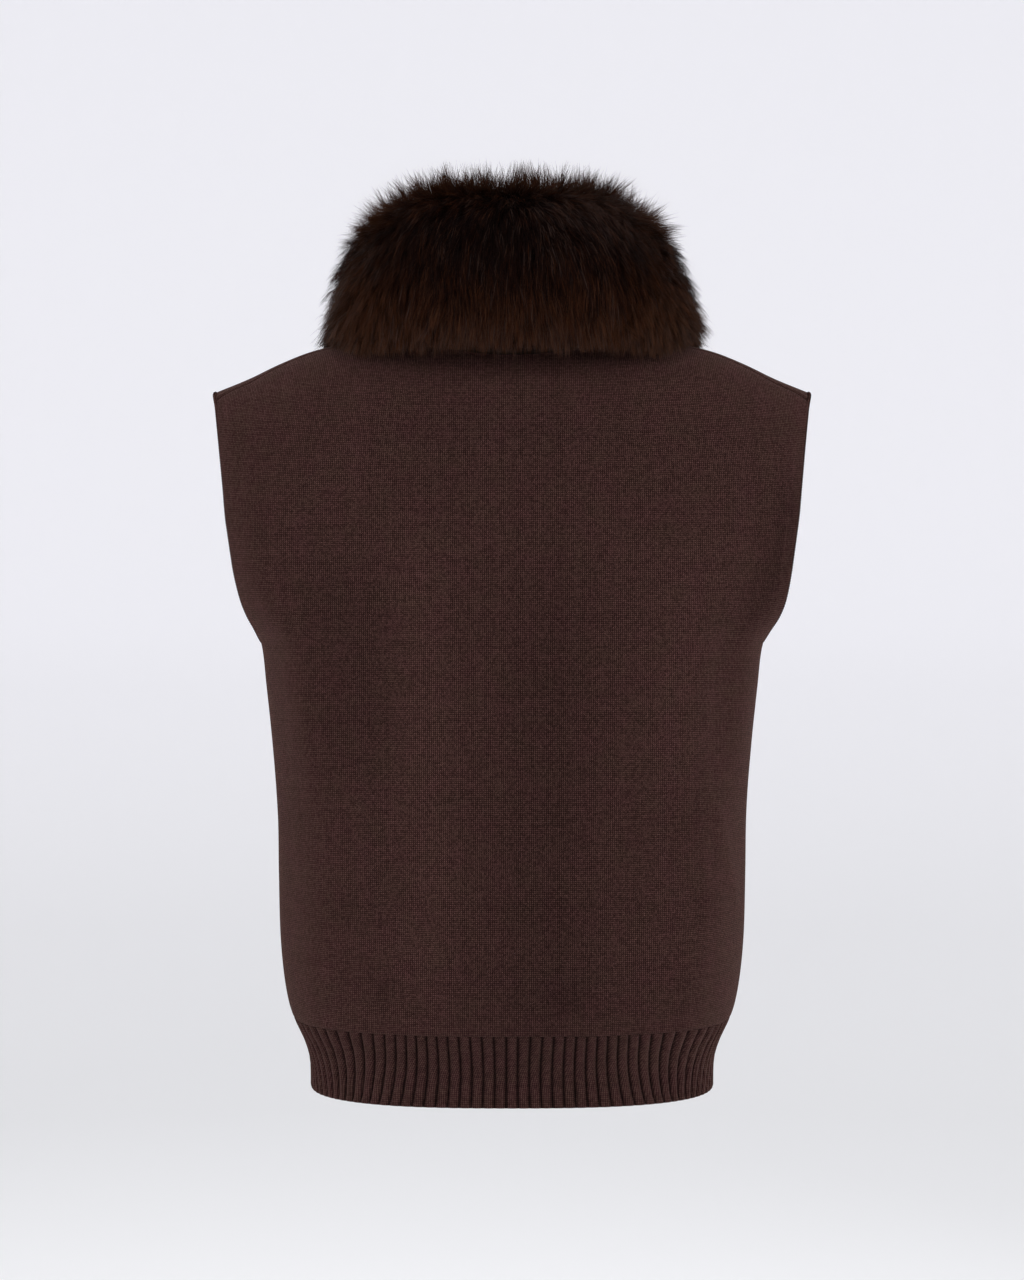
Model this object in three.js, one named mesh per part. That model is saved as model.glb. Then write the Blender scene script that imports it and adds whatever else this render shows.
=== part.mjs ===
// A sleeveless knit jacket with a ribbed hem and a fold-over fur collar, filled out as if worn,
// with nobody in it. Millimetres, +Z up, and the jacket's front faces -Y. The origin is the
// middle of the neck opening, at the height where the shoulders meet the neck.
// The wearer's left side is +X. Each cut piece of the jacket is one closed wall of cloth.
import * as THREE from "three";

// ---- Driving sizes ----
const knitWall = 2.6; // thickness of the knit cloth
const ribWall = 3.2; // thickness of the hem at the top of a rib
const grooveDepth = 1.3; // how deep the hem's grooves are cut
const seamGap = 0.3; // between two pieces that are sewn together
const hemSeam = 0.5; // between the body and the hem, which slope differently there
const hemBottom = -609;
const hemTop = -553; // where the ribbed hem meets the body
const hemEdge = 2.6; // plain edge below the grooves
const backRibs = 53;
const frontRibs = 25; // on each front
const grooveShare = 0.17; // half of a groove, as a share of one rib's pitch
const frontBand = 18; // width of the plain band along each front edge
const bandGap = 0.6; // between that band and the piece beside it, over their thickness
const archStart = -150; // above this the panels arch over to the shoulders
const archFullness = 0.075; // how far the arch stands out from an ellipse
const seamSetBack = 27; // the shoulder seam lies this far behind the ridge
// The armhole's lower end is half an ellipse from the underarm up to where its edges run straight.
const armhole = { bottom: -247, straight: -187, halfGap: 42 };
const armholeEdge = 1.6; // radius of the rolled edge round the armhole
const armholeInset = 2.3; // from the middle of that edge to the panel's own edge
const insetSideways = 0.77; // the same inset seen from the side, where the panel is oblique
// The neck opening: half its width, how far back and forward it reaches, and the height of its
// sides, from which its front dips.
const neck = { halfWidth: 95, back: 66, front: 101, level: 2, frontDip: 87 };
const furLift = { neckline: 0.9, shoulder: 3 }; // the collar's clearance over the knit

// Outer size of the jacket at each height: half its width, half the width of the rounded body
// that the panels follow before they flare to the armholes, and its depth behind and in front of
// the side seams. Fullness is how far the section's corners stand out from an ellipse.
const sections = [
  { z: -609, halfWidth: 164, body: 164, back: 119, front: 119, fullness: 0.085 },
  { z: -594, halfWidth: 164, body: 164, back: 119, front: 119, fullness: 0.085 },
  { z: -581, halfWidth: 165, body: 165, back: 121, front: 121, fullness: 0.085 },
  { z: -567, halfWidth: 169.5, body: 169.5, back: 125, front: 124, fullness: 0.08 },
  { z: -553, halfWidth: 176, body: 176, back: 130, front: 128, fullness: 0.08 },
  { z: -539, halfWidth: 181, body: 181, back: 134, front: 131, fullness: 0.075 },
  { z: -515, halfWidth: 185, body: 185, back: 137, front: 133, fullness: 0.07 },
  { z: -480, halfWidth: 187.5, body: 187.5, back: 137, front: 133, fullness: 0.07 },
  { z: -430, halfWidth: 189, body: 189, back: 135, front: 133, fullness: 0.06 },
  { z: -384, halfWidth: 190, body: 190, back: 131, front: 131, fullness: 0.06 },
  { z: -330, halfWidth: 195, body: 195, back: 125, front: 128, fullness: 0.06 },
  { z: -280, halfWidth: 200.5, body: 200.5, back: 118, front: 124, fullness: 0.06 },
  { z: -253, halfWidth: 203.5, body: 203.5, back: 115, front: 121, fullness: 0.06 },
  { z: -239, halfWidth: 207.5, body: 204.8, back: 113, front: 119, fullness: 0.06 },
  { z: -226, halfWidth: 213.5, body: 206, back: 112, front: 117, fullness: 0.06 },
  { z: -213, halfWidth: 218, body: 207.2, back: 110, front: 115, fullness: 0.06 },
  { z: -187, halfWidth: 223.5, body: 210, back: 106, front: 111, fullness: 0.06 },
  { z: -150, halfWidth: 229, body: 214, back: 101, front: 106, fullness: 0.06 },
  { z: -121, halfWidth: 231.8, body: 216.5, back: 101, front: 106, fullness: 0.06 },
  { z: -82, halfWidth: 236, body: 218.5, back: 101, front: 106, fullness: 0.06 },
  { z: -43, halfWidth: 241, body: 220, back: 101, front: 106, fullness: 0.06 },
];

// Height of the ridge along the shoulder, by its distance from the middle.
const shoulderLine = [
  { x: 0, z: 8 },
  { x: 60, z: 5.5 },
  { x: 95, z: 2 },
  { x: 130, z: -3 },
  { x: 162, z: -10 },
  { x: 188, z: -20 },
  { x: 214, z: -32.3 },
  { x: 241, z: -43 },
];

// Soft folds of the filled-out body. Around is the place in degrees from the centre back to the
// wearer's left at mid height, lean its shift in degrees for each 100 mm up, and width its half
// width in degrees. A positive depth is a ridge and a negative one a trough.
const folds = [
  { around: 2, lean: 1, low: -560, high: -170, width: 12, depth: -3.2 },
  { around: 31, lean: -2, low: -575, high: -140, width: 11, depth: 2.6 },
  { around: -30, lean: 3, low: -570, high: -260, width: 10, depth: 2.8 },
  { around: -47, lean: -9, low: -500, high: -210, width: 7, depth: 2.2 },
  { around: -58, lean: -8, low: -470, high: -170, width: 8, depth: -2.6 },
  { around: 56, lean: 8, low: -450, high: -170, width: 9, depth: -2.2 },
  { around: 45, lean: 6, low: -330, high: -110, width: 9, depth: 2.4 },
  { around: 74, lean: 0, low: -560, high: -300, width: 8, depth: 1.8 },
  { around: -76, lean: 0, low: -560, high: -310, width: 8, depth: 1.6 },
  { around: 128, lean: -6, low: -560, high: -230, width: 10, depth: 2.6 },
  { around: -126, lean: 5, low: -560, high: -250, width: 10, depth: 2.8 },
  { around: 150, lean: -3, low: -560, high: -200, width: 9, depth: -2.4 },
  { around: -152, lean: 3, low: -560, high: -210, width: 9, depth: -2.2 },
];

// The fur collar at each turn from the centre back round to the centre front. Ridge is the top of
// the fold, inner the furthest point towards the neck, outer the middle of the outer face and hem
// its lower edge. Each r is measured outwards from the neckline and each z is a height.
const collarStations = [
  { turn: 0, ridgeR: 17, ridgeZ: 117, inner: -13, outerR: 57, hemR: 47, hemZ: -25 },
  { turn: 30, ridgeR: 17, ridgeZ: 118, inner: -13, outerR: 58, hemR: 49, hemZ: -24 },
  { turn: 60, ridgeR: 15, ridgeZ: 111, inner: -14, outerR: 56, hemR: 57, hemZ: -20 },
  { turn: 90, ridgeR: 12, ridgeZ: 99, inner: -15, outerR: 54, hemR: 67, hemZ: -8 },
  { turn: 115, ridgeR: 12, ridgeZ: 72, inner: -14, outerR: 54, hemR: 66, hemZ: -38 },
  { turn: 140, ridgeR: 13, ridgeZ: 25, inner: -12, outerR: 49, hemR: 43, hemZ: -98 },
  { turn: 160, ridgeR: 14, ridgeZ: -20, inner: -9, outerR: 42, hemR: 30, hemZ: -130 },
  { turn: 174, ridgeR: 13, ridgeZ: -48, inner: -5, outerR: 34, hemR: 25, hemZ: -124 },
];
const collarStep = 6.2; // degrees between two sections of the collar

const foldFade = 90; // a fold fades out over this height at each end
const foldMiddle = -360; // the height at which a fold's place is given

const knitColour = 0x362322;
const ribColour = 0x30201f;
const furColour = 0x22130d;

// ---- Small helpers ----
const degrees = Math.PI / 180;
const quarter = Math.PI / 2;
const flareStart = 22 * degrees; // a panel flares out to the armhole from this angle on
const clamp = THREE.MathUtils.clamp;

// Reads a column of a table on a smooth curve through its rows.
function readTable(rows, key, column, at) {
  const last = rows.length - 1;
  let i = 0;
  while (i < last - 1 && rows[i + 1][key] < at) i += 1;
  const row = (k) => rows[clamp(k, 0, last)];
  const span = row(i + 1)[key] - row(i)[key];
  const t = clamp((at - row(i)[key]) / span, 0, 1);
  const slope = (a, b) => ((b[column] - a[column]) / (b[key] - a[key])) * span;
  const leave = slope(row(i - 1), row(i + 1));
  const arrive = slope(row(i), row(i + 2));
  const rise = row(i + 1)[column] - row(i)[column];
  const bend = t * (1 - t) * ((1 - t) * (leave - rise) - t * (arrive - rise));
  return row(i)[column] + rise * t + bend;
}

// Finds where a function that rises from low to high, or falls, passes zero.
function solve(low, high, miss) {
  const rising = miss(high) > miss(low);
  let [a, b] = [low, high];
  for (let step = 0; step < 40; step += 1) {
    const middle = (a + b) / 2;
    if (miss(middle) > 0 === rising) b = middle;
    else a = middle;
  }
  return (a + b) / 2;
}

const outFrom = (fullness, angle) => 1 + fullness * Math.sin(2 * angle) ** 2;
const alongX = (fullness, angle) => Math.sin(angle) * outFrom(fullness, angle);
const alongY = (fullness, angle) => Math.cos(angle) * outFrom(fullness, angle);
const smooth = (from, to, at) => THREE.MathUtils.smoothstep(at, from, to);
const even = (count) => Array.from({ length: count + 1 }, (_, i) => i / count);

// ---- The outer surface of the whole jacket ----
// Side is "back" or "front". Angle runs from the middle of that side, 0, to the side of the body,
// a quarter turn, and is negative towards the wearer's right. Height is z up to archStart and
// goes on as the arch's own angle, at archRise mm for each radian, over the ridge.
const archRise = 100;
const heightOfArch = (arch) => archStart + arch * archRise;

function armholeGap(z) {
  if (z <= armhole.bottom) return 0;
  if (z >= armhole.straight) return armhole.halfGap;
  const share = (z - armhole.straight) / (armhole.bottom - armhole.straight);
  return armhole.halfGap * Math.sqrt(1 - share * share);
}

// The angle, front and back alike, at which the armhole's edge crosses a height.
function edgeAngle(z) {
  const level = Math.min(z, archStart);
  const fullness = readTable(sections, "z", "fullness", level);
  const share = armholeGap(level) / readTable(sections, "z", "back", level);
  return share === 0 ? quarter : solve(quarter / 3, quarter, (a) => alongY(fullness, a) - share);
}

function bodyPoint(side, angle, height) {
  const facing = side === "back" ? 1 : -1;
  const level = Math.min(height, archStart);
  const fullness = readTable(sections, "z", "fullness", level);
  const depth = readTable(sections, "z", side, level) * alongY(fullness, Math.abs(angle));
  const reach = (z) => {
    const edge = edgeAngle(z);
    const body = readTable(sections, "z", "body", z);
    const flare = readTable(sections, "z", "halfWidth", z) / (body * alongX(fullness, edge)) - 1;
    return body * alongX(fullness, angle) * (1 + flare * smooth(flareStart, edge, Math.abs(angle)));
  };
  if (height <= archStart) return new THREE.Vector3(reach(height), facing * depth, height);
  const arch = (height - archStart) / archRise;
  if (arch > quarter) {
    const other = side === "back" ? "front" : "back";
    return bodyPoint(other, angle, heightOfArch(2 * quarter - arch));
  }
  const ridge = readTable(shoulderLine, "x", "z", Math.abs(reach(shoulderLine.at(-1).z)));
  const z = archStart + (ridge - archStart) * alongX(archFullness, arch);
  return new THREE.Vector3(reach(z), facing * depth * alongY(archFullness, arch), z);
}

function foldDepth(side, angle, z) {
  const around = (side === "back" ? angle : Math.sign(angle || 1) * 2 * quarter - angle) / degrees;
  return folds.reduce((sum, fold) => {
    const off = around - fold.around - (fold.lean * (z - foldMiddle)) / 100;
    const fadeIn = smooth(fold.low, fold.low + foldFade, z);
    const along = fadeIn * (1 - smooth(fold.high - foldFade, fold.high, z));
    return sum + fold.depth * Math.exp(-((off / fold.width) ** 2)) * along;
  }, 0);
}

// A point of the cloth, a given distance outside the jacket's outer surface.
function clothPoint(side, angle, height, outside) {
  const nudge = 0.004;
  const here = bodyPoint(side, angle, height);
  const across = bodyPoint(side, angle + nudge, height).sub(bodyPoint(side, angle - nudge, height));
  const up = bodyPoint(side, angle, height + 0.5).sub(bodyPoint(side, angle, height - 0.5));
  const out = across.cross(up).normalize();
  if (side === "back") out.negate();
  return here.addScaledVector(out, outside + foldDepth(side, angle, here.z));
}

// ---- Walls and lofts ----
// Joins two lines of vertices, which may have different counts, by a strip of triangles.
function zip(faces, first, second) {
  let [i, j] = [0, 0];
  while (i < first.length - 1 || j < second.length - 1) {
    const stepFirst =
      j === second.length - 1 ||
      (i < first.length - 1 && (i + 1) / (first.length - 1) <= (j + 1) / (second.length - 1));
    if (stepFirst) faces.push(first[i], first[i + 1], second[j]);
    else faces.push(first[i], second[j + 1], second[j]);
    if (stepFirst) i += 1;
    else j += 1;
  }
}

function meshOf(name, points, faces, colour, roughness) {
  const geometry = new THREE.BufferGeometry().setFromPoints(points);
  geometry.setIndex(faces);
  geometry.computeVertexNormals();
  const material = new THREE.MeshStandardMaterial({ color: colour, roughness, metalness: 0 });
  const mesh = new THREE.Mesh(geometry, material);
  mesh.name = name;
  return mesh;
}

// A closed wall between an outer and an inner grid of points. Each grid is a list of rows from
// the bottom up, each running the same way; flip turns the wall's faces round.
function wall(name, outer, inner, flip, colour, roughness) {
  const points = [...outer.flat(), ...inner.flat()];
  const columns = outer[0].length;
  const indexOuter = outer.map((_, row) => outer[0].map((__, i) => row * columns + i));
  const start = outer.length * columns;
  const indexInner = inner.map((_, row) => inner[0].map((__, i) => start + row * columns + i));
  const faces = [];
  for (let row = 0; row < outer.length - 1; row += 1) zip(faces, indexOuter[row], indexOuter[row + 1]);
  for (let row = 0; row < inner.length - 1; row += 1) zip(faces, indexInner[row + 1], indexInner[row]);
  const column = (grid, i) => grid.map((row) => row[i]);
  zip(faces, indexInner[0], indexOuter[0]);
  zip(faces, indexOuter.at(-1), indexInner.at(-1));
  zip(faces, column(indexOuter, 0), column(indexInner, 0));
  zip(faces, column(indexInner, columns - 1), column(indexOuter, columns - 1));
  return meshOf(name, points, flip ? faces.reverse() : faces, colour, roughness);
}

// A solid through rings of points, closed on itself, or capped at its two ends by strips between
// the ring's first points, up to split, and the rest.
function loft(name, rings, split, colour, roughness) {
  const size = rings[0].length;
  const points = rings.flat();
  const faces = [];
  const ring = (k) => even(size).map((_, i) => (k % rings.length) * size + (i % size));
  const joins = split ? rings.length - 1 : rings.length;
  for (let k = 0; k < joins; k += 1) zip(faces, ring(k), ring(k + 1));
  if (split) {
    const [start, end] = [ring(0).slice(0, size), ring(rings.length - 1).slice(0, size)];
    zip(faces, start.slice(split).reverse(), start.slice(0, split));
    zip(faces, end.slice(0, split), end.slice(split).reverse());
  }
  return meshOf(name, points, faces, colour, roughness);
}

// ---- Where the panels end ----
// The height, on the arch, at which a column of the back panel meets the neckline or the seam.
function backTop(angle, gap) {
  const miss = (height) => {
    const p = bodyPoint("back", angle, height);
    const share = clamp(Math.abs(p.x) / neck.halfWidth, 0, 1);
    return p.y - Math.max(seamSetBack + gap, neck.back * Math.sqrt(1 - share * share));
  };
  return solve(archStart, heightOfArch(quarter), miss);
}

// The same for a front panel, whose shoulder columns pass over the ridge to the seam.
function frontTop(angle, gap) {
  const ridge = bodyPoint("front", angle, heightOfArch(quarter));
  if (Math.abs(ridge.x) > neck.halfWidth - 0.5) {
    const seam = (height) => bodyPoint("back", angle, height).y - (seamSetBack - gap);
    const onBack = solve(archStart, heightOfArch(quarter), seam);
    return 2 * heightOfArch(quarter) - onBack;
  }
  const miss = (height) => {
    const p = bodyPoint("front", angle, height);
    const share = clamp(Math.abs(p.x) / neck.halfWidth, 0, 1);
    return p.z - (neck.level - neck.frontDip * Math.sqrt(1 - share * share));
  };
  return solve(archStart, heightOfArch(quarter), miss);
}

// The angle at which a panel ends at the side: at the side seam below the armhole, and just
// inside the armhole's rolled edge beside it.
function sideEnd(height, turn) {
  const level = Math.min(height, archStart);
  const angleAtGap = (gap) => solve(0, quarter, (angle) => bodyPoint("back", angle, level).y - gap);
  if (turn) return angleAtGap((armhole.halfGap + armholeInset * insetSideways) * Math.sin(turn));
  if (height < armhole.bottom) return angleAtGap(seamGap / 2);
  const edge = edgeAngle(level);
  const nudge = 0.01;
  const run = bodyPoint("back", edge, height).distanceTo(bodyPoint("back", edge - nudge, height));
  return edge - (armholeInset * nudge) / run;
}

// The rows of a body panel: their heights, and how far round the armhole's lower end they are.
function panelRows() {
  const straight = [-539, -518, -490, -450, -405, -355, -305, -270];
  const low = armhole.straight - armhole.bottom + armholeInset;
  const turns = even(6).map((share) => share * quarter);
  return [
    { height: hemTop + hemSeam / 2 },
    ...straight.map((height) => ({ height })),
    ...turns.map((turn) => ({ height: armhole.straight - low * Math.cos(turn), turn })),
    { height: (armhole.straight + archStart) / 2 },
    { height: archStart },
  ];
}
const archRows = { back: 7, front: 9 };

// The angle at which the outer surface is x mm from the middle.
function angleAt(side, x, height) {
  return solve(0, quarter, (angle) => bodyPoint(side, angle, height).x - x);
}

// Where the columns stand, from places on the shoulder ridge, as shares of the way from the
// first of them to the side.
const shoulderPlaces = [113, 132, 151, 170, 189, 207, 224, 234, 241.2];
const onNeck = (turn) => neck.halfWidth * Math.sin(turn * degrees);

function columnShares(places) {
  const angles = places.map((x) => angleAt("back", x, heightOfArch(quarter)));
  return angles.map((angle) => (angle - angles[0]) / (angles.at(-1) - angles[0]));
}

// One wall of knit cloth from a level line, inner mm from the middle, to its side. Hands lists
// the half or halves that it covers.
function knitPanel(name, side, inner, places, topOf, hands) {
  const shares = columnShares(places);
  const columns = hands.flatMap((hand) => {
    const half = shares.map((share) => ({ share, hand }));
    return hand < 0 && hands.length > 1 ? half.slice(1).reverse() : half;
  });
  // Columns run straight up, and only those near the side follow the armhole's lower end.
  const sideOnly = 6;
  const upperEnd = sideEnd(archStart);
  const lineOf = (share, height, end) => {
    const first = inner ? angleAt(side, inner, height) : 0;
    return first + (upperEnd - first) * share + (end - upperEnd) * share ** sideOnly;
  };
  const grid = (outside) => {
    const rows = panelRows().map(({ height, turn }) => {
      const end = sideEnd(height, turn);
      return columns.map(({ share, hand }) =>
        clothPoint(side, hand * lineOf(share, height, end), height, outside),
      );
    });
    const upper = even(archRows[side]).slice(1).map((up) =>
      columns.map(({ share, hand }) => {
        const guess = lineOf(share, archStart, upperEnd);
        const height = archStart + (topOf(guess, seamGap / 2) - archStart) * up;
        const angle = hand * lineOf(share, height, sideEnd(height));
        return clothPoint(side, angle, height, outside);
      }),
    );
    return [...rows, ...upper];
  };
  const flip = (side === "back") === hands.at(-1) > 0;
  return wall(name, grid(0), grid(-knitWall), flip, knitColour, 0.95);
}

function backPanel() {
  const places = [...[0, 18, 36, 52, 66].map(onNeck), neck.halfWidth, ...shoulderPlaces];
  return knitPanel("back", "back", 0, places, backTop, [-1, 1]);
}

function frontPanel(name, hand) {
  const edge = frontBand + bandGap;
  const places = [edge, ...[25, 40, 54, 67, 78].map(onNeck), neck.halfWidth, ...shoulderPlaces];
  return knitPanel(name, "front", edge, places, frontTop, [hand]);
}

// ---- Ribbed hem ----
// Angles at even steps along the hem's outer face between two angles.
function evenAlongHem(side, from, to, shares) {
  const steps = 400;
  const angles = even(steps).map((share) => from + (to - from) * share);
  const lengths = [0];
  angles.slice(1).forEach((angle, i) => {
    const run = bodyPoint(side, angle, hemBottom).distanceTo(bodyPoint(side, angles[i], hemBottom));
    lengths.push(lengths[i] + run);
  });
  return shares.map((share) => {
    const want = share * lengths[steps];
    const i = Math.max(lengths.findIndex((length) => length >= want), 1);
    const part = (want - lengths[i - 1]) / (lengths[i] - lengths[i - 1]);
    return angles[i - 1] + (angles[i] - angles[i - 1]) * part;
  });
}

function ribbedHem(name, side, from, to, ribs) {
  const places = [{ share: 0, groove: 0.5 }];
  for (let rib = 0; rib < ribs; rib += 1) {
    places.push({ share: (rib + grooveShare) / ribs, groove: 0 });
    places.push({ share: (rib + 1 - grooveShare) / ribs, groove: 0 });
    places.push({ share: (rib + 1) / ribs, groove: rib === ribs - 1 ? 0.5 : 1 });
  }
  const angles = evenAlongHem(side, from, to, places.map((place) => place.share));
  const top = hemTop - hemSeam / 2;
  const outerHeights = [hemBottom, hemBottom + hemEdge, -581, -566, top];
  const innerHeights = [hemBottom, -578, top];
  const outer = outerHeights.map((z, row) =>
    angles.map((angle, i) => {
      const cut = row === 0 ? 0.5 : places[i].groove;
      return clothPoint(side, angle, z, -cut * grooveDepth);
    }),
  );
  const inner = innerHeights.map((z) => angles.map((angle) => clothPoint(side, angle, z, -ribWall)));
  return wall(name, outer, inner, (side === "back") === (to > from), ribColour, 0.95);
}

function hemPieces() {
  const side = sideEnd(hemBottom);
  const inner = angleAt("front", frontBand + bandGap, hemBottom);
  return [
    ribbedHem("hem_rib_back", "back", -side, side, backRibs),
    ribbedHem("hem_rib_front_left", "front", inner, side, frontRibs),
    ribbedHem("hem_rib_front_right", "front", -inner, -side, frontRibs),
  ];
}

// ---- Plain bands along the two front edges ----
function frontBandPiece(name, hand) {
  const heights = [hemBottom, -590, -575, -560, -545, -520, -480, -430, -380, -330, -280, -230, -185];
  const levels = [...heights, archStart, heightOfArch(10 * degrees)];
  const top = (angle) => frontTop(angle, 0);
  const grid = (outside) =>
    [...levels, null].map((level) =>
      [0.5 * seamGap, frontBand / 2, frontBand].map((x) => {
        const at = level ?? archStart;
        const angle = angleAt("front", x, at);
        return clothPoint("front", angle * hand, level ?? top(angle), outside);
      }),
    );
  return wall(name, grid(0), grid(-ribWall), hand < 0, ribColour, 0.95);
}

// ---- Rolled edge round an armhole ----
function armholePiece(name, hand) {
  const lean = 60; // its rings are turned as seen from this far towards the body
  const path = [];
  const add = (side, height) => path.push({ side, height });
  const lower = even(7).map((share) => share * quarter);
  const low = armhole.straight - armhole.bottom;
  const upper = even(8).map((share) => heightOfArch(share * quarter));
  for (const turn of lower) add("back", armhole.straight - low * Math.cos(turn));
  for (const height of upper) add("back", height);
  for (const height of upper.slice(0, -1).reverse()) add("front", height);
  for (const turn of lower.slice(1).reverse()) add("front", armhole.straight - low * Math.cos(turn));
  const middles = path.map(({ side, height }) => {
    const edge = edgeAngle(height);
    return clothPoint(side, edge * hand, height, -knitWall / 2);
  });
  const count = middles.length;
  const rings = middles.map((middle, i) => {
    const ahead = middles[(i + 1) % count].clone().sub(middles[(i + count - 1) % count]).normalize();
    const centre = new THREE.Vector3(middle.x - hand * lean, 0, middle.z);
    const away = middle.clone().sub(centre);
    const first = away.addScaledVector(ahead, -away.dot(ahead)).normalize();
    const second = new THREE.Vector3().crossVectors(ahead, first);
    return even(6).slice(1).map((share) => {
      const turn = share * 4 * quarter;
      return middle.clone()
        .addScaledVector(first, armholeEdge * Math.cos(turn))
        .addScaledVector(second, armholeEdge * Math.sin(turn));
    });
  });
  return loft(name, rings, 0, ribColour, 0.95);
}

// ---- Fur collar ----
// Height of the jacket's outer surface under a place on the shoulders.
function shoulderTop(x, y) {
  const side = y >= 0 ? "back" : "front";
  let height = heightOfArch(quarter);
  let point = new THREE.Vector3();
  for (let pass = 0; pass < 5; pass += 1) {
    const angle = angleAt(side, Math.abs(x), height);
    if (Math.abs(bodyPoint(side, angle, archStart).y) < Math.abs(y)) return -Infinity;
    const miss = (h) => Math.abs(bodyPoint(side, angle, h).y) - Math.abs(y);
    height = solve(archStart, heightOfArch(quarter), miss);
    point = bodyPoint(side, angle, height);
  }
  return point.z;
}

// The neckline's point at a turn from the centre back, with the level way outwards from it.
function necklineAt(turn) {
  const x = neck.halfWidth * Math.sin(turn);
  const back = Math.cos(turn) >= 0;
  const at = new THREE.Vector3(x, neck.back * Math.cos(turn), 0);
  if (back) {
    at.z = shoulderTop(at.x, at.y);
  } else {
    const under = (height) => bodyPoint("front", angleAt("front", Math.abs(x), height), height);
    const top = heightOfArch(quarter);
    const level = Math.min(neck.level + neck.frontDip * Math.cos(turn), under(top).z);
    const point = under(solve(archStart, top, (height) => under(height).z - level));
    at.set(x, point.y, point.z);
  }
  const depth = back ? neck.back : neck.front;
  const away = new THREE.Vector3(Math.sin(turn) / neck.halfWidth, Math.cos(turn) / depth, 0);
  return { at, away: away.normalize() };
}

function collarSection(turn) {
  const { at, away } = necklineAt(turn);
  const size = (column) => readTable(collarStations, "turn", column, Math.abs(turn) / degrees);
  const [ridgeR, ridgeZ, inner] = [size("ridgeR"), size("ridgeZ"), size("inner")];
  const [outerR, hemR, hemZ] = [size("outerR"), size("hemR"), size("hemZ")];
  const base = at.z + furLift.neckline;
  const rise = ridgeZ - base;
  const fall = ridgeZ - hemZ;
  const clear = (r) => shoulderTop(at.x + away.x * r, at.y + away.y * r) + furLift.shoulder;
  const under = [0.8, 0.6, 0.4, 0.2].map((share) => {
    const straight = base + (hemZ - base) * share;
    return [hemR * share, Math.max(straight, clear(hemR * share))];
  });
  const outline = [
    [0, base],
    [inner * 0.55, base + rise * 0.2],
    [inner, base + rise * 0.55],
    [inner * 0.5, base + rise * 0.86],
    [ridgeR, ridgeZ],
    [ridgeR + (outerR - ridgeR) * 0.62, ridgeZ - fall * 0.09],
    [outerR * 0.94, ridgeZ - fall * 0.3],
    [outerR, ridgeZ - fall * 0.55],
    [outerR + (hemR - outerR) * 0.45, ridgeZ - fall * 0.85],
    [hemR, Math.max(hemZ, clear(hemR))],
    ...under,
  ];
  return outline.map(([r, z]) => new THREE.Vector3(at.x + away.x * r, at.y + away.y * r, z));
}

function furCollar() {
  const last = collarStations.at(-1).turn * degrees;
  const count = 2 * Math.round(last / (collarStep * degrees));
  const rings = even(count).map((share) => collarSection((1 - 2 * share) * last));
  const insideFace = 5; // the outline's first points run up the inside to the ridge
  return loft("fur_collar", rings, insideFace, furColour, 1);
}

// ---- The jacket ----
const jacket = new THREE.Group();
jacket.add(backPanel());
jacket.add(frontPanel("front_left", 1));
jacket.add(frontPanel("front_right", -1));
jacket.add(...hemPieces());
jacket.add(frontBandPiece("front_band_left", 1));
jacket.add(frontBandPiece("front_band_right", -1));
jacket.add(armholePiece("armhole_edge_left", 1));
jacket.add(armholePiece("armhole_edge_right", -1));
jacket.add(furCollar());

export default jacket;
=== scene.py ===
import math
import bmesh
import bpy
import numpy as np
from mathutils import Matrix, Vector
from mathutils.kdtree import KDTree


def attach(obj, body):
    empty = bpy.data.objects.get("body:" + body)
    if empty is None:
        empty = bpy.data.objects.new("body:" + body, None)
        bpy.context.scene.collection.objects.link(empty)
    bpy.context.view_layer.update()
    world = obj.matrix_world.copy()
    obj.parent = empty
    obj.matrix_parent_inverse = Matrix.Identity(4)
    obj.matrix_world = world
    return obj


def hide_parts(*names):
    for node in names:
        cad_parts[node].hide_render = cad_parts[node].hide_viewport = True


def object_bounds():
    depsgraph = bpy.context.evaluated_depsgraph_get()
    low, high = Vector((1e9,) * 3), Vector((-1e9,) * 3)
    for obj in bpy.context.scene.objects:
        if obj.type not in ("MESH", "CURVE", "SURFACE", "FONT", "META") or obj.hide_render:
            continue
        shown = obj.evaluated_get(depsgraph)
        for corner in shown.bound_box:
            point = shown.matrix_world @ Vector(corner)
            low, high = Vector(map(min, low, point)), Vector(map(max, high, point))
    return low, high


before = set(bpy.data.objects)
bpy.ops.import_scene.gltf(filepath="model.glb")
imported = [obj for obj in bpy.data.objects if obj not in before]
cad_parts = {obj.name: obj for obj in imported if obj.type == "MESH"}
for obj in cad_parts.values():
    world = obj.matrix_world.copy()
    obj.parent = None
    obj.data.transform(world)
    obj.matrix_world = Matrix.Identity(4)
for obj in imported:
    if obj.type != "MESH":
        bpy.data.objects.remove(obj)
cadBox = [list(corner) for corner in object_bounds()]
print("frame loaded")

mm = 0.001
degree = math.pi / 180
quarter = math.pi / 2
middleHeight = (cadBox[0][2] + cadBox[1][2]) / 2

# The camera stands level behind the jacket, whose front faces -Y.
cameraSetup = {"distance": 2.03, "lens": 69.8, "sensor": 36}


def addObject(name, data):
    made = bpy.data.objects.new(name, data)
    bpy.context.scene.collection.objects.link(made)
    return made


def makeCamera():
    lens = bpy.data.cameras.new("camera")
    lens.lens = cameraSetup["lens"]
    lens.sensor_width = cameraSetup["sensor"]
    camera = addObject("camera", lens)
    camera.location = (0, cameraSetup["distance"], middleHeight)
    camera.rotation_euler = (quarter, 0, math.pi)
    bpy.context.scene.camera = camera


makeCamera()
bpy.context.scene.view_settings.view_transform = "Standard"


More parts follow.
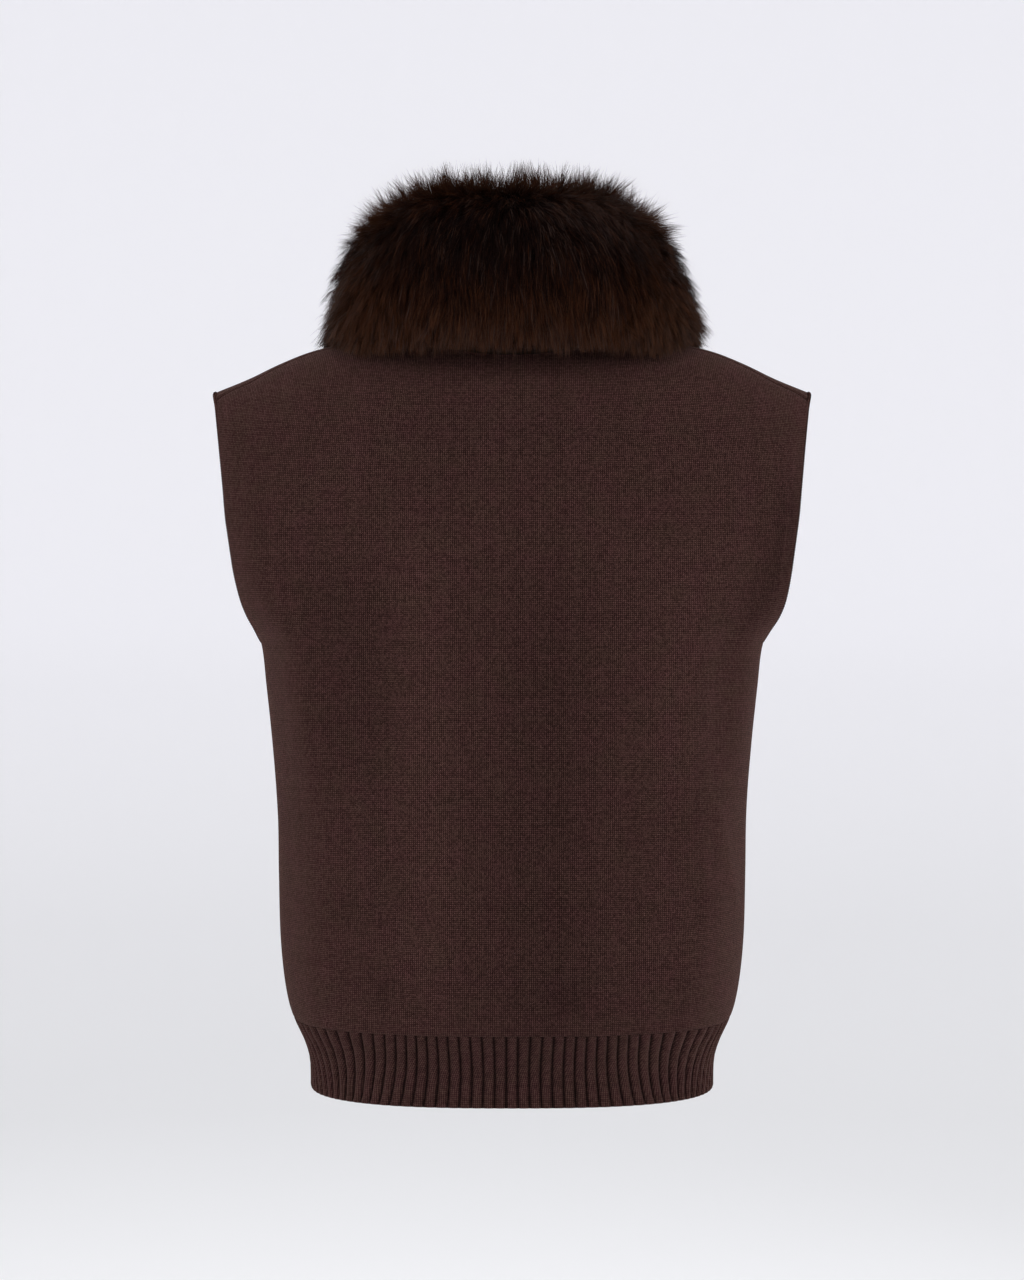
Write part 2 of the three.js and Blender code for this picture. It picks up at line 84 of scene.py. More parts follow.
# One socket of a material, so that shader maths reads as Python.
class Value:
    def __init__(self, finish, socket):
        self.finish = finish
        self.socket = socket

    def calc(self, operation, *values):
        return self.finish.calc(operation, *values)

    def out(self, name):
        return Value(self.finish, self.socket.node.outputs[name])

    def __add__(self, other):
        return self.calc("ADD", self, other)

    def __radd__(self, other):
        return self.calc("ADD", other, self)

    def __sub__(self, other):
        return self.calc("SUBTRACT", self, other)

    def __rsub__(self, other):
        return self.calc("SUBTRACT", other, self)

    def __mul__(self, other):
        return self.calc("MULTIPLY", self, other)

    def __rmul__(self, other):
        return self.calc("MULTIPLY", other, self)

    def __truediv__(self, other):
        return self.calc("DIVIDE", self, other)

    def __pow__(self, other):
        return self.calc("POWER", self, other)

    def fraction(self):
        return self.calc("FRACT", self)

    def size(self):
        return self.calc("ABSOLUTE", self)

    def clipped(self):
        return self.calc("MINIMUM", self.calc("MAXIMUM", self, 0), 1)


# A material and its nodes. Its methods add nodes and give back their sockets.
class Finish:
    def __init__(self, name):
        self.material = bpy.data.materials.new(name)
        self.material.use_nodes = True
        self.tree = self.material.node_tree
        self.tree.nodes.clear()

    def node(self, kind, settings=None, inputs=None, output=0):
        made = self.tree.nodes.new(kind)
        for key, value in (settings or {}).items():
            if key == "stops":
                ramp = made.color_ramp
                while len(ramp.elements) < len(value):
                    ramp.elements.new(0.5)
                for element, (place, colour) in zip(ramp.elements, value):
                    element.position = place
                    element.color = (*colour, 1)
            else:
                setattr(made, key, value)
        for key, value in (inputs or {}).items():
            if isinstance(value, Value):
                self.tree.links.new(value.socket, made.inputs[key])
            else:
                made.inputs[key].default_value = value
        return Value(self, made.outputs[output])

    def calc(self, operation, *values):
        return self.node("ShaderNodeMath", {"operation": operation}, dict(enumerate(values)))

    def mix(self, factor, first, second, blend="MIX"):
        settings = {"data_type": "RGBA", "blend_type": blend}
        return self.node("ShaderNodeMix", settings, {0: factor, 6: first, 7: second}, 2)

    def map(self, name):
        place = self.node("ShaderNodeUVMap", {"uv_map": name})
        split = self.node("ShaderNodeSeparateXYZ", {}, {0: place})
        return split, split.out("Y"), place

    def noise(self, place, scale, detail=2, rough=0.5, stretch=(1, 1, 1)):
        moved = self.node("ShaderNodeMapping", {}, {"Vector": place, "Scale": stretch})
        inputs = {"Vector": moved, "Scale": scale, "Detail": detail, "Roughness": rough}
        return self.node("ShaderNodeTexNoise", {}, inputs)

    def bump(self, height, depth, strength=1, under=None):
        inputs = {"Height": height, "Distance": depth, "Strength": strength}
        if under is not None:
            inputs["Normal"] = under
        return self.node("ShaderNodeBump", {}, inputs)

    def surface(self, inputs):
        shader = self.node("ShaderNodeBsdfPrincipled", {}, inputs)
        out = self.tree.nodes.new("ShaderNodeOutputMaterial")
        self.tree.links.new(shader.socket, out.inputs["Surface"])
        return self.material


# Body of the jacket at each height, in millimetres: half its width, half the width of the
# rounded body before the panels flare to the armholes, its depth behind and in front, and how far
# its corners stand out from an ellipse.
body = {
    "z": [-609, -594, -581, -567, -553, -539, -515, -480, -430, -384, -330, -280, -253, -239,
          -226, -213, -187, -150, -121, -82, -43],
    "halfWidth": [164, 164, 165, 169.5, 176, 181, 185, 187.5, 189, 190, 195, 200.5, 203.5, 207.5,
                  213.5, 218, 223.5, 229, 231.8, 236, 241],
    "body": [164, 164, 165, 169.5, 176, 181, 185, 187.5, 189, 190, 195, 200.5, 203.5, 204.8,
             206, 207.2, 210, 214, 216.5, 218.5, 220],
    "back": [119, 119, 121, 125, 130, 134, 137, 137, 135, 131, 125, 118, 115, 113,
             112, 110, 106, 101, 101, 101, 101],
    "front": [119, 119, 121, 124, 128, 131, 133, 133, 133, 131, 128, 124, 121, 119,
              117, 115, 111, 106, 106, 106, 106],
    "fullness": [0.085] * 3 + [0.08] * 2 + [0.075] + [0.07] * 2 + [0.06] * 13,
}
shoulder = {"x": [0, 60, 95, 130, 162, 188, 214, 241], "z": [8, 5.5, 2, -3, -10, -20, -32.3, -43]}
arch = {"start": -150, "fullness": 0.075, "rise": 100, "flareStart": 22 * degree}
armhole = {"bottom": -247, "straight": -187, "halfGap": 42, "inset": 1.1, "sideways": 0.77}
neck = {"halfWidth": 95, "back": 66, "front": 101, "level": 2, "frontDip": 87, "ease": 0.5}
seam = {"setBack": 27.5, "tip": 5.5, "tipFrom": 205, "tipTo": 240, "sink": 1.2, "width": 1.7,
        "meet": 0.02}
hem = {"bottom": -606.5, "top": -549.5, "wall": 3.1, "groove": 2.8, "grooveWidth": 0.18,
       "pinch": 0.5, "pinchAt": 50, "pinchWidth": 21}
bands = {"width": 18, "lap": 0.6, "wall": 3.0}
bandEdge = bands["width"] - bands["lap"]  # where the fronts and the front hem go under the bands

# Folds of the filled-out body: the place in degrees from the centre back to the wearer's left at
# mid height, the shift in degrees for each 100 mm up, the heights between which it shows, its half
# width in degrees, its depth in millimetres, and the height over which it fades out.
foldColumns = ("around", "lean", "low", "high", "width", "depth", "fade")
foldRows = [
    (11, 0, -565, -120, 9, 5.0, 110),
    (30, -1, -565, -130, 9, -4.6, 100),
    (50, 2, -400, -110, 9, 4.2, 90),
    (-22, 1, -400, -110, 9, 5.0, 110),
    (-20, 0, -575, -350, 11, 2.5, 120),
    (-52, -1, -400, -100, 9, -4.8, 100),
    (-70, -3, -270, -70, 9, 3.4, 80),
    (-50, 17, -470, -350, 3, 1.4, 40),
    (-44, 0, -565, -430, 9, 3.0, 70),
    (30, 0, -533, -495, 4, -1.8, 18),
    (-13, 0, -538, -500, 5, -1.8, 18),
    (-42, 3, -480, -430, 4, -1.8, 24),
    (43, 3, -480, -430, 4, -1.6, 24),
    (74, 0, -560, -300, 8, 1.8, 90),
    (-76, 0, -560, -310, 8, 1.6, 90),
    (128, -6, -560, -230, 10, 3.6, 90),
    (-126, 5, -560, -250, 10, 4.0, 90),
    (150, -3, -560, -200, 9, -3.4, 90),
    (-152, 3, -560, -210, 9, -3.2, 90),
    (108, 2, -380, -120, 8, -3.0, 80),
    (-110, -2, -400, -130, 8, -3.2, 80),
]
foldMiddle = -360

# Light and shade painted into the knit's colour: soft lighter and darker places, laid out as
# the folds are, with a share in place of the depth. They paint the folds' shading, a lighter
# place under the collar against its shadow, and lighter bands at the sides for the rims' light.
paintedLightRows = [
    # painted light under the collar, against its cast shadow
    (0, 0, -80, 30, 34, 0.2, 50),
    (-8, 0, -620, -140, 13, -0.15, 130),
    (-6, 0, -640, -330, 22, -0.04, 160),
    (20, 0, -560, -130, 7, 0.11, 90),
    (37, 0, -385, -140, 11, -0.13, 70),
    (-40, 1, -380, -120, 8, 0.1, 110),
    (-56, -3, -260, -90, 7, -0.22, 60),
    (56, 12, -190, -80, 7, 0.2, 45),
    (-50, 17, -470, -350, 2.6, 0.08, 40),
    (30, 0, -533, -495, 4, -0.12, 18),
    (-13, 0, -538, -500, 5, -0.16, 18),
    (-43, 3, -480, -430, 4, -0.1, 24),
    (43, 3, -480, -430, 4, -0.1, 24),
    # painted rim light at the two sides
    (90, 0, -600, -215, 8, 0.22, 50),
    (-90, 0, -600, -215, 8, 0.22, 50),
    (122, -3, -540, -160, 9, -0.12, 110),
    (-118, 3, -560, -140, 9, -0.12, 110),
    (142, -2, -560, -140, 8, 0.1, 110),
    (-140, 2, -540, -160, 8, 0.1, 110),
    (160, 0, -520, -200, 8, -0.08, 110),
    (-162, 0, -540, -220, 8, -0.08, 110),
]


# Reads a column of a table on a smooth curve through its rows.
def readTable(table, key, column, at):
    keys = np.array(table[key], float)
    values = np.array(table[column], float)
    at = np.asarray(at, float)
    last = len(keys) - 1
    i = np.clip(np.searchsorted(keys, at) - 1, 0, last - 1)
    before, after = np.clip(i - 1, 0, last), np.clip(i + 2, 0, last)
    span = keys[i + 1] - keys[i]
    t = np.clip((at - keys[i]) / span, 0, 1)
    leave = (values[i + 1] - values[before]) / (keys[i + 1] - keys[before]) * span
    arrive = (values[after] - values[i]) / (keys[after] - keys[i]) * span
    rise = values[i + 1] - values[i]
    return values[i] + rise * t + t * (1 - t) * ((1 - t) * (leave - rise) - t * (arrive - rise))


# Finds where functions that rise or fall steadily between two values pass zero.
def solve(low, high, miss, halvings=30):
    probe = miss(high)
    a = np.broadcast_to(np.asarray(low, float), np.shape(probe)).copy()
    b = np.broadcast_to(np.asarray(high, float), np.shape(probe)).copy()
    rising = probe > miss(a)
    for step in range(halvings):
        middle = (a + b) / 2
        beyond = (miss(middle) > 0) == rising
        b = np.where(beyond, middle, b)
        a = np.where(beyond, a, middle)
    return (a + b) / 2


def smooth(low, high, at):
    t = np.clip((at - low) / (high - low), 0, 1)
    return t * t * (3 - 2 * t)


# A section is an ellipse whose corners stand out by its fullness.
def outFrom(fullness, angle):
    return 1 + fullness * np.sin(2 * angle) ** 2


def alongX(fullness, angle):
    return np.sin(angle) * outFrom(fullness, angle)


def alongY(fullness, angle):
    return np.cos(angle) * outFrom(fullness, angle)


# Half the armhole's opening, measured from front to back, at a height.
def armholeGap(z):
    share = np.clip((z - armhole["straight"]) / (armhole["bottom"] - armhole["straight"]), 0, 1)
    return armhole["halfGap"] * np.sqrt(1 - share * share)


def edgeAngleExact(z):
    level = np.minimum(z, arch["start"])
    fullness = readTable(body, "z", "fullness", level)
    share = armholeGap(level) / readTable(body, "z", "back", level)
    found = solve(quarter / 3, quarter, lambda a: alongY(fullness, a) - share)
    return np.where(share <= 0, quarter, found)


edgeSteps = {"lower": 400, "upper": 60, "apart": 0.1}
lowerEdge = np.linspace(0, quarter, edgeSteps["lower"])
edgeLevels = armhole["straight"] + (armhole["bottom"] - armhole["straight"]) * np.cos(lowerEdge)
edgeLevels = np.append(edgeLevels, np.linspace(armhole["straight"] + edgeSteps["apart"],
                                               arch["start"], edgeSteps["upper"]))
edgeAngles = edgeAngleExact(edgeLevels)


def edgeAngle(z):
    return np.interp(z, edgeLevels, edgeAngles, left=quarter)


def heightOfArch(turn):
    return arch["start"] + turn * arch["rise"]


# The jacket's outer surface. Facing is 1 behind and -1 in front, angle runs from the middle to
# the side, and height goes on as the arch's own angle above the arch's start.
def bodyPoint(facing, angle, height):
    angle, height = np.broadcast_arrays(np.asarray(angle, float), np.asarray(height, float))
    turn = np.maximum((height - arch["start"]) / arch["rise"], 0)
    facing = np.where(turn > quarter, -facing, facing)
    turn = np.where(turn > quarter, 2 * quarter - turn, turn)
    level = np.minimum(height, arch["start"])
    fullness = readTable(body, "z", "fullness", level)
    behind, before = readTable(body, "z", "back", level), readTable(body, "z", "front", level)
    depth = np.where(facing > 0, behind, before) * alongY(fullness, np.abs(angle))

    def reach(z):
        edge = edgeAngle(z)
        width = readTable(body, "z", "body", z)
        flare = readTable(body, "z", "halfWidth", z) / (width * alongX(fullness, edge)) - 1
        near = smooth(arch["flareStart"], edge, np.abs(angle))
        return width * alongX(fullness, angle) * (1 + flare * near)

    ridge = readTable(shoulder, "x", "z", np.abs(reach(np.full(angle.shape, shoulder["z"][-1]))))
    high = arch["start"] + (ridge - arch["start"]) * alongX(arch["fullness"], turn)
    z = np.where(turn > 0, high, height)
    y = facing * depth * np.where(turn > 0, alongY(arch["fullness"], turn), 1)
    return np.stack([reach(z), y, z], -1)


# The sum of the rows of a table of folds at places on the body.
def relief(facing, angle, z, rows):
    sign = np.where(angle < 0, -1, 1)
    around = (angle if facing > 0 else sign * 2 * quarter - angle) / degree
    total = np.zeros(np.shape(z))
    for values in rows:
        fold = dict(zip(foldColumns, values))
        off = around - fold["around"] - fold["lean"] * (z - foldMiddle) / 100
        along = smooth(fold["low"], fold["low"] + fold["fade"], z)
        along = along * (1 - smooth(fold["high"] - fold["fade"], fold["high"], z))
        total = total + fold["depth"] * np.exp(-((off / fold["width"]) ** 2)) * along
    return total


def normalAt(facing, angle, height):
    turn, rise = 0.004, 0.5  # small steps round the body and up it
    across = bodyPoint(facing, angle + turn, height) - bodyPoint(facing, angle - turn, height)
    up = bodyPoint(facing, angle, height + rise) - bodyPoint(facing, angle, height - rise)
    out = np.cross(across, up) * -facing
    return out / np.linalg.norm(out, axis=-1, keepdims=True)


# A point of the folded cloth, outside mm out from it.
def clothPoint(facing, angle, height, outside):
    here = bodyPoint(facing, angle, height)
    lift = outside + relief(facing, angle, here[..., 2], foldRows)
    return here + normalAt(facing, angle, height) * np.asarray(lift)[..., None]


def angleAt(facing, x, height):
    return solve(0, quarter, lambda a: bodyPoint(facing, a + 0 * height, height)[..., 0] - x)


seamMerge = 2e-5  # points nearer than this are joined, in metres


# Lengths along the rows or columns of a grid of points.
def runLengths(points, axis):
    steps = np.linalg.norm(np.diff(points, axis=axis), axis=-1)
    start = np.zeros_like(np.take(steps, [0], axis))
    return np.concatenate([start, np.cumsum(steps, axis)], axis)


# Joins the seam of a grid that is rolled up, and closes its ends.
def closeMesh(mesh):
    joined = bmesh.new()
    joined.from_mesh(mesh)
    bmesh.ops.remove_doubles(joined, verts=joined.verts, dist=seamMerge)
    edges = [e for e in joined.edges if e.is_boundary]
    if edges:
        bmesh.ops.holes_fill(joined, edges=edges)
    bmesh.ops.recalc_face_normals(joined, faces=joined.faces)
    joined.to_mesh(mesh)
    joined.free()


# A mesh from rows of points, with its maps, which are all in millimetres.
def gridPiece(name, points, maps, flip, close=False):
    rows, columns = points.shape[:2]
    shape = bmesh.new()
    bmesh.ops.create_grid(shape, x_segments=columns - 1, y_segments=rows - 1, size=0.5)
    mesh = bpy.data.meshes.new(name)
    shape.to_mesh(mesh)
    shape.free()
    flat = np.empty(len(mesh.vertices) * 3)
    mesh.vertices.foreach_get("co", flat)
    spot = flat.reshape(-1, 3)[:, :2] + 0.5
    column = np.rint(spot[:, 0] * (columns - 1)).astype(int)
    row = np.rint(spot[:, 1] * (rows - 1)).astype(int)
    mesh.vertices.foreach_set("co", (points[row, column] * mm).ravel())
    corner = np.empty(len(mesh.loops), int)
    mesh.loops.foreach_get("vertex_index", corner)
    for mapName, values in maps.items():
        layer = mesh.uv_layers.new(name=mapName)
        layer.uv.foreach_set("vector", (values[row, column][corner] * mm).ravel())
    mesh.update()
    if flip:
        mesh.flip_normals()
    if close:
        closeMesh(mesh)
    mesh.shade_smooth()
    return addObject(name, mesh)


def thicken(piece, thickness):
    wall = piece.modifiers.new("wall", "SOLIDIFY")
    wall.thickness = thickness * mm
    wall.offset = -1
    wall.use_even_offset = True
    wall.use_quality_normals = True


def dress(piece, finish, nodes):
    piece.data.materials.append(finish)
    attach(piece, "root")
    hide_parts(*nodes)


# The painted light and shade as a map, in which 1 changes nothing.
def paintedLightMap(facing, angles, points):
    tone = relief(facing, angles, points[..., 2], paintedLightRows)
    return np.stack([tone + 1, 0 * tone], -1) / mm


# The knit panels, whose rows and columns lie closer together beside the seams.
panel = {
    "wall": 2.4,
    "lowerRows": 71,  # below the armhole
    "curvedRows": 20,  # beside the armhole's rounded lower end
    "straightRows": 10,  # beside the armhole's straight part
    "backArchRows": 44,
    "frontArchRows": 56,
    "archRun": 170,
    "columns": 52,
    "columnRun": 235,
    "nearSeam": [0, 0.6, 1.2, 1.9, 2.8, 4.2],
    "seamMargin": 1.4,
    "endPull": 6,
    "hemMeet": 0.1,
    "sideMeet": 0.004,
    "hemSink": 0.5,
    "seamFade": 14,
    "lineStop": 40,
    "noLine": 60,
    "backFlat": (0.5, 0.66),
    "backArea": 0.26,
    "frontFlat": (0.26, 0.66),
    "frontArea": 0.125,
}


# The angle where a panel ends, at the side seam or, higher up, beside the armhole's edge.
def sideEnd(height):
    level = np.minimum(height, arch["start"])
    seamSide = solve(0, quarter, lambda a: bodyPoint(1, a, level)[..., 1] - panel["sideMeet"])
    edge = edgeAngle(level)
    nudge = 0.01
    run = np.linalg.norm(bodyPoint(1, edge, height) - bodyPoint(1, edge - nudge, height), axis=-1)
    beside = edge - armhole["inset"] * nudge / run
    return np.where(height < armhole["bottom"], seamSide, beside)


def seamBack(x):
    return seam["setBack"] - seam["tip"] * smooth(seam["tipFrom"], seam["tipTo"], np.abs(x))


# How far the neck opening reaches at a distance from the middle, as a share.
def neckReach(x):
    share = np.clip(np.abs(x) / neck["halfWidth"], 0, 1)
    return np.sqrt(1 - share * share)


def backTop(angle):
    def miss(height):
        p = bodyPoint(1, angle, height)
        edge = neck["back"] * neckReach(p[..., 0])
        return p[..., 1] - np.maximum(seamBack(p[..., 0]) + seam["meet"], edge)

    return solve(arch["start"], heightOfArch(quarter), miss)


def frontTop(angle):
    ridge = bodyPoint(-1, angle, heightOfArch(quarter))

    def missBehind(height):
        p = bodyPoint(1, angle, height)
        return p[..., 1] - seamBack(p[..., 0]) + seam["meet"]

    onBack = solve(arch["start"], heightOfArch(quarter), missBehind)

    def miss(height):
        p = bodyPoint(-1, angle, height)
        return p[..., 2] - (neck["level"] - neck["frontDip"] * neckReach(p[..., 0]))

    under = solve(arch["start"], heightOfArch(quarter), miss)
    wide = np.abs(ridge[..., 0]) > neck["halfWidth"] - neck["ease"]
    return np.where(wide, 2 * heightOfArch(quarter) - onBack, under)


# Even steps from 0 to 1 over a span, closer together at the end and, if asked, at the start.
def evenly(count, span, closeStart):
    near = np.array(panel["nearSeam"]) / span
    margin = max(near) * panel["seamMargin"]
    steps = [s for s in np.linspace(0, 1, count)
             if (s > margin or not closeStart) and s < 1 - margin]
    if closeStart:
        steps += list(near)
    return np.array(sorted(steps + list(1 - near)))


# Angles and heights of a panel's rows from the hem up, and how many rows lie below the arch.
def panelRows(facing, inner, shares, signs):
    start = hem["top"] + panel["hemMeet"]
    upperEnd = float(sideEnd(np.array(float(arch["start"]))))
    straight = np.linspace(start, armhole["bottom"] - armhole["inset"], panel["lowerRows"])
    straight = np.concatenate([[start], start + np.array(panel["nearSeam"][1:]), straight[2:]])
    turns = np.linspace(0, quarter, panel["curvedRows"])[1:]
    low = armhole["straight"] - armhole["bottom"] + armhole["inset"]
    lowHeights = armhole["straight"] - low * np.cos(turns)
    gaps = (armhole["halfGap"] + armhole["inset"] * armhole["sideways"]) * np.sin(turns)
    lowEnds = solve(0, quarter, lambda a: bodyPoint(1, a, lowHeights)[..., 1] - gaps)
    rest = np.linspace(armhole["straight"], arch["start"], panel["straightRows"])[1:]
    heights = np.concatenate([straight, lowHeights, rest])
    ends = np.concatenate([sideEnd(straight), lowEnds, sideEnd(rest)])

    def innerAngle(height):
        return angleAt(facing, inner, height) if inner else 0 * height

    def lineOf(first, end):
        return first + (upperEnd - first) * shares + (end - upperEnd) * shares ** panel["endPull"]

    lower = lineOf(innerAngle(heights)[:, None], ends[:, None])
    lowerHeights = np.repeat(heights[:, None], len(shares), 1)
    guess = lineOf(float(innerAngle(np.array(float(arch["start"])))), upperEnd)
    top = (backTop if facing > 0 else frontTop)(guess)
    archRows = panel["backArchRows"] if facing > 0 else panel["frontArchRows"]
    up = evenly(archRows, panel["archRun"], False)[1:]
    upperHeights = arch["start"] + (top - arch["start"])[None, :] * up[:, None]
    upper = lineOf(innerAngle(upperHeights), sideEnd(upperHeights))
    angles = np.concatenate([lower, upper]) * signs
    return angles, np.concatenate([lowerHeights, upperHeights]), len(heights)


# A panel on one hand or both, from inner mm beside the middle to the side.
def knitPanel(name, facing, inner, hands, nodes, finish):
    both = len(hands) > 1
    half = evenly(panel["columns"], panel["columnRun"], bool(inner))
    if both:
        shares = np.concatenate([half[:0:-1], half])
        signs = np.concatenate([-np.ones(len(half) - 1), np.ones(len(half))])
    else:
        shares, signs = half, np.full(len(half), hands[0])
    angles, heights, bodyRows = panelRows(facing, inner, shares, signs)
    rough = clothPoint(facing, angles, heights, 0)
    across, along = runLengths(rough, 1), runLengths(rough, 0)
    fromEnd = across[:, -1:] - across
    fromSide = np.minimum(fromEnd, across) if both else fromEnd
    fromTop = along[-1:] - along

    def sunk(distance):
        return np.exp(-((distance / seam["width"]) ** 2))

    beside = smooth(armhole["bottom"] - panel["seamFade"], armhole["bottom"], heights)
    sinks = [sunk(fromSide) * (1 - beside), sunk(fromTop), panel["hemSink"] * sunk(along)]
    if inner:
        sinks.append(sunk(across))
    points = clothPoint(facing, angles, heights, -seam["sink"] * np.maximum.reduce(sinks))
    middle = across.shape[1] // 2 if both else 0
    u = across - across[:, middle:middle + 1]
    level = np.repeat(heights[:, :1], heights.shape[1], 1)
    v = np.where(np.arange(len(level))[:, None] < bodyRows, level,
                 arch["start"] + along - along[bodyRows - 1:bodyRows])
    lined = heights > armhole["bottom"] - panel["lineStop"]
    edges = np.stack([np.where(lined, fromSide, panel["noLine"]), fromTop], -1)
    # the tone map carries the painted light and shade
    maps = {"cloth": np.stack([u, v], -1), "edges": edges,
            "tone": paintedLightMap(facing, angles, points)}
    piece = gridPiece(name, points, maps, (facing > 0) == (signs[-1] > 0))
    thicken(piece, panel["wall"])
    dress(piece, finish, nodes)
    return piece


# The melange knit, in millimetres and shares. Deep, mid and fluff are its colours from the bottom
# of a stitch to its loose fibres; the darker bottoms are painted shade in the pits between
# stitches, and the lighter fluff is the yarn's own.
knitLook = {
    "wale": 1.65,
    "course": 1.5,
    "slant": 0.42,
    "deep": (0.0070, 0.0028, 0.0024),
    "mid": (0.0254, 0.0112, 0.0097),
    "fluff": (0.0800, 0.0400, 0.0345),
    "midAt": 0.52,
    "relief": 1.05,
    "base": 0.085,
    "fleck": 0.28,
    "rows": 0.06,
    "soft": 0.2,
    "specks": 0.3,
    "reddish": (1.05, 0.96, 1.01, 1),
    "greenish": (0.98, 1.02, 0.95, 1),
    "lineWidth": 1.6,
    "lineLight": 0.13,
    # painted shade along the sunk seam at a panel's top: its width and how dark it is
    "seamWidth": 1.4,
    "seamPaintedShade": 0.5,
    # width of the painted shade in the groove between ribs
    "grooveWidth": 1.9,
    "stitchDepth": 0.0007,
    "fluffDepth": 0.0010,
    "sheen": 0.16,
    "sheenTint": (1.0, 0.6, 0.5, 1),
}


# Height of the stitches, and a shade of their own for each stitch, row and wale.
def stitches(finish, u, v, look):
    wale, course = u / (look["wale"] * mm), v / (look["course"] * mm)
    fold = (wale.fraction() - 0.5).size() * 2
    run = course + fold * look["slant"]
    strand = 1 - (run.fraction() * 2 - 1) ** 2
    leg = 1 - ((fold * 1.3 - 0.35).size() ** 2) * 1.1
    height = (leg * 0.75 + 0.25) * (strand * 0.62 + 0.38)
    column, row = finish.calc("FLOOR", wale), finish.calc("FLOOR", run)
    cell = finish.node("ShaderNodeCombineXYZ", {}, {0: column, 1: row})
    each = finish.node("ShaderNodeTexWhiteNoise", {"noise_dimensions": "2D"}, {"Vector": cell})
    lines = finish.node("ShaderNodeTexWhiteNoise", {"noise_dimensions": "1D"}, {"W": row})
    wales = finish.node("ShaderNodeTexWhiteNoise", {"noise_dimensions": "1D"}, {"W": column})
    shade = (each - 0.5) * look["fleck"] + (lines + wales - 1) * look["rows"]
    return height, shade


# The knit's material. It may have a lighter line beside the side seam, painted shade in the
# groove between ribs and along the sunk seam at a panel's top, and painted light and shade from
# the tone map.
def knitFinish(name, look, lineAt=None, paintedGrooveShade=0, withPaintedLight=True):
    finish = Finish(name)
    u, v, cloth = finish.map("cloth")
    height, shade = stitches(finish, u, v, look)
    soft = finish.noise(cloth, 300, 3, 0.65, (1, 0.8, 1))
    broad = finish.noise(cloth, 14, 3, 0.55)
    patches = finish.noise(cloth, 45, 2, 0.5)
    specks = finish.noise(cloth, 900, 1, 0.5)
    tone = height * look["relief"] - look["base"] + shade + (soft - 0.5) * look["soft"]
    tone = (tone + ((specks - 0.64) * 5).clipped() * look["specks"]).clipped()
    # the ramp darkens the stitches' pits with painted shade
    stops = [(0.0, look["deep"]), (look["midAt"], look["mid"]), (1, look["fluff"])]
    colour = finish.node("ShaderNodeValToRGB", {"stops": stops}, {0: tone})
    dim = 0.94 + broad * 0.12
    # painted light and shade: the folds' shading, the collar's shadow lifted and the side rims
    if withPaintedLight:
        dim = dim * finish.map("tone")[0]
    if lineAt:
        side, top = finish.map("edges")[:2]
        line = 1 - ((side / mm - lineAt) / look["lineWidth"]).size().clipped()
        dim = dim + line * look["lineLight"]
        # painted shade in the sunk seam along the panel's top
        dim = dim * (1 - look["seamPaintedShade"] * (1 - (top / mm / look["seamWidth"]).clipped()))
    # painted shade in the groove between ribs, darkest at its bottom
    if paintedGrooveShade:
        deep = finish.map("edges")[0] / mm
        dim = dim * (1 - paintedGrooveShade * (1 - (deep / look["grooveWidth"]).clipped()))
    grey = finish.node("ShaderNodeCombineColor", {}, {0: dim, 1: dim, 2: dim})
    tint = finish.mix(((patches - 0.3) * 2.5).clipped(), look["greenish"], look["reddish"])
    colour = finish.mix(1, colour, tint, "MULTIPLY")
    colour = finish.mix(1, colour, grey, "MULTIPLY")
    normal = finish.bump(height, look["stitchDepth"], 0.9)
    normal = finish.bump(soft, look["fluffDepth"], 0.4, normal)
    return finish.surface({
        "Base Color": colour, "Roughness": 1.0, "Specular IOR Level": 0.03, "Normal": normal,
        "Sheen Weight": look["sheen"], "Sheen Roughness": 0.1, "Sheen Tint": look["sheenTint"]})


knit = knitFinish("knit", knitLook, 10.5)
# the rib knit paints shade into the groove between its ribs
ribKnit = knitFinish("ribKnit", {**knitLook, "mid": (0.0305, 0.0141, 0.0126)}, None, 0.8)
bandKnit = knitFinish("bandKnit", {**knitLook, "mid": (0.0255, 0.0114, 0.0101)}, withPaintedLight=False)
edging = knitFinish("edging", {**knitLook, "wale": 2.0, "course": 2.0, "sheen": 0.05,
                               "mid": (0.0230, 0.0100, 0.0085)}, withPaintedLight=False)

backKnit = knitPanel("backKnit", 1, 0, (-1, 1), ["back"], knit)
for name, hand, node in (("frontKnitLeft", 1, "front_left"), ("frontKnitRight", -1, "front_right")):
    frontKnit = knitPanel(name, -1, bandEdge, (hand,), [node], knit)
print("knit panels made")


# The ribbed hem. Rows are heights above its lower edge, and curl turns the first of them in.
hemLook = {
    "backRibs": 53,
    "frontRibs": 25,
    "steps": 9,  # columns of faces on each rib
    "rows": [0, 0.2, 1, 2.6, 6, 12, 19, 26, 33, 40, 47, 52, 55.4, 57],
    "curl": [1.5, 0.9, 0.3, 0.05] + [0] * 10,
    "grooveDepth": ([0, 2.5, 5, 52, 57], [0.25, 0.5, 1, 1, 0.8]),
    "crown": 0.35,
    "seed": 7,
    "drift": 0.11,  # how far ribs wander, as a share of their pitch
    "driftPlaces": 14,
    "driftBend": ([0, 24, 56], [0.5, -0.2, 0.35]),
    "backFlat": (0.47, 0.058),
    "frontFlat": (0.215, 0.058),
    "underBand": 1.1,
}


def evenAngles(facing, start, end, shares, samples=900):
    angles = np.linspace(start, end, samples)
    points = bodyPoint(facing, angles, np.full(samples, float(hem["bottom"])))
    lengths = runLengths(points[None], 1)[0]
    return np.interp(shares * lengths[-1], lengths, angles)


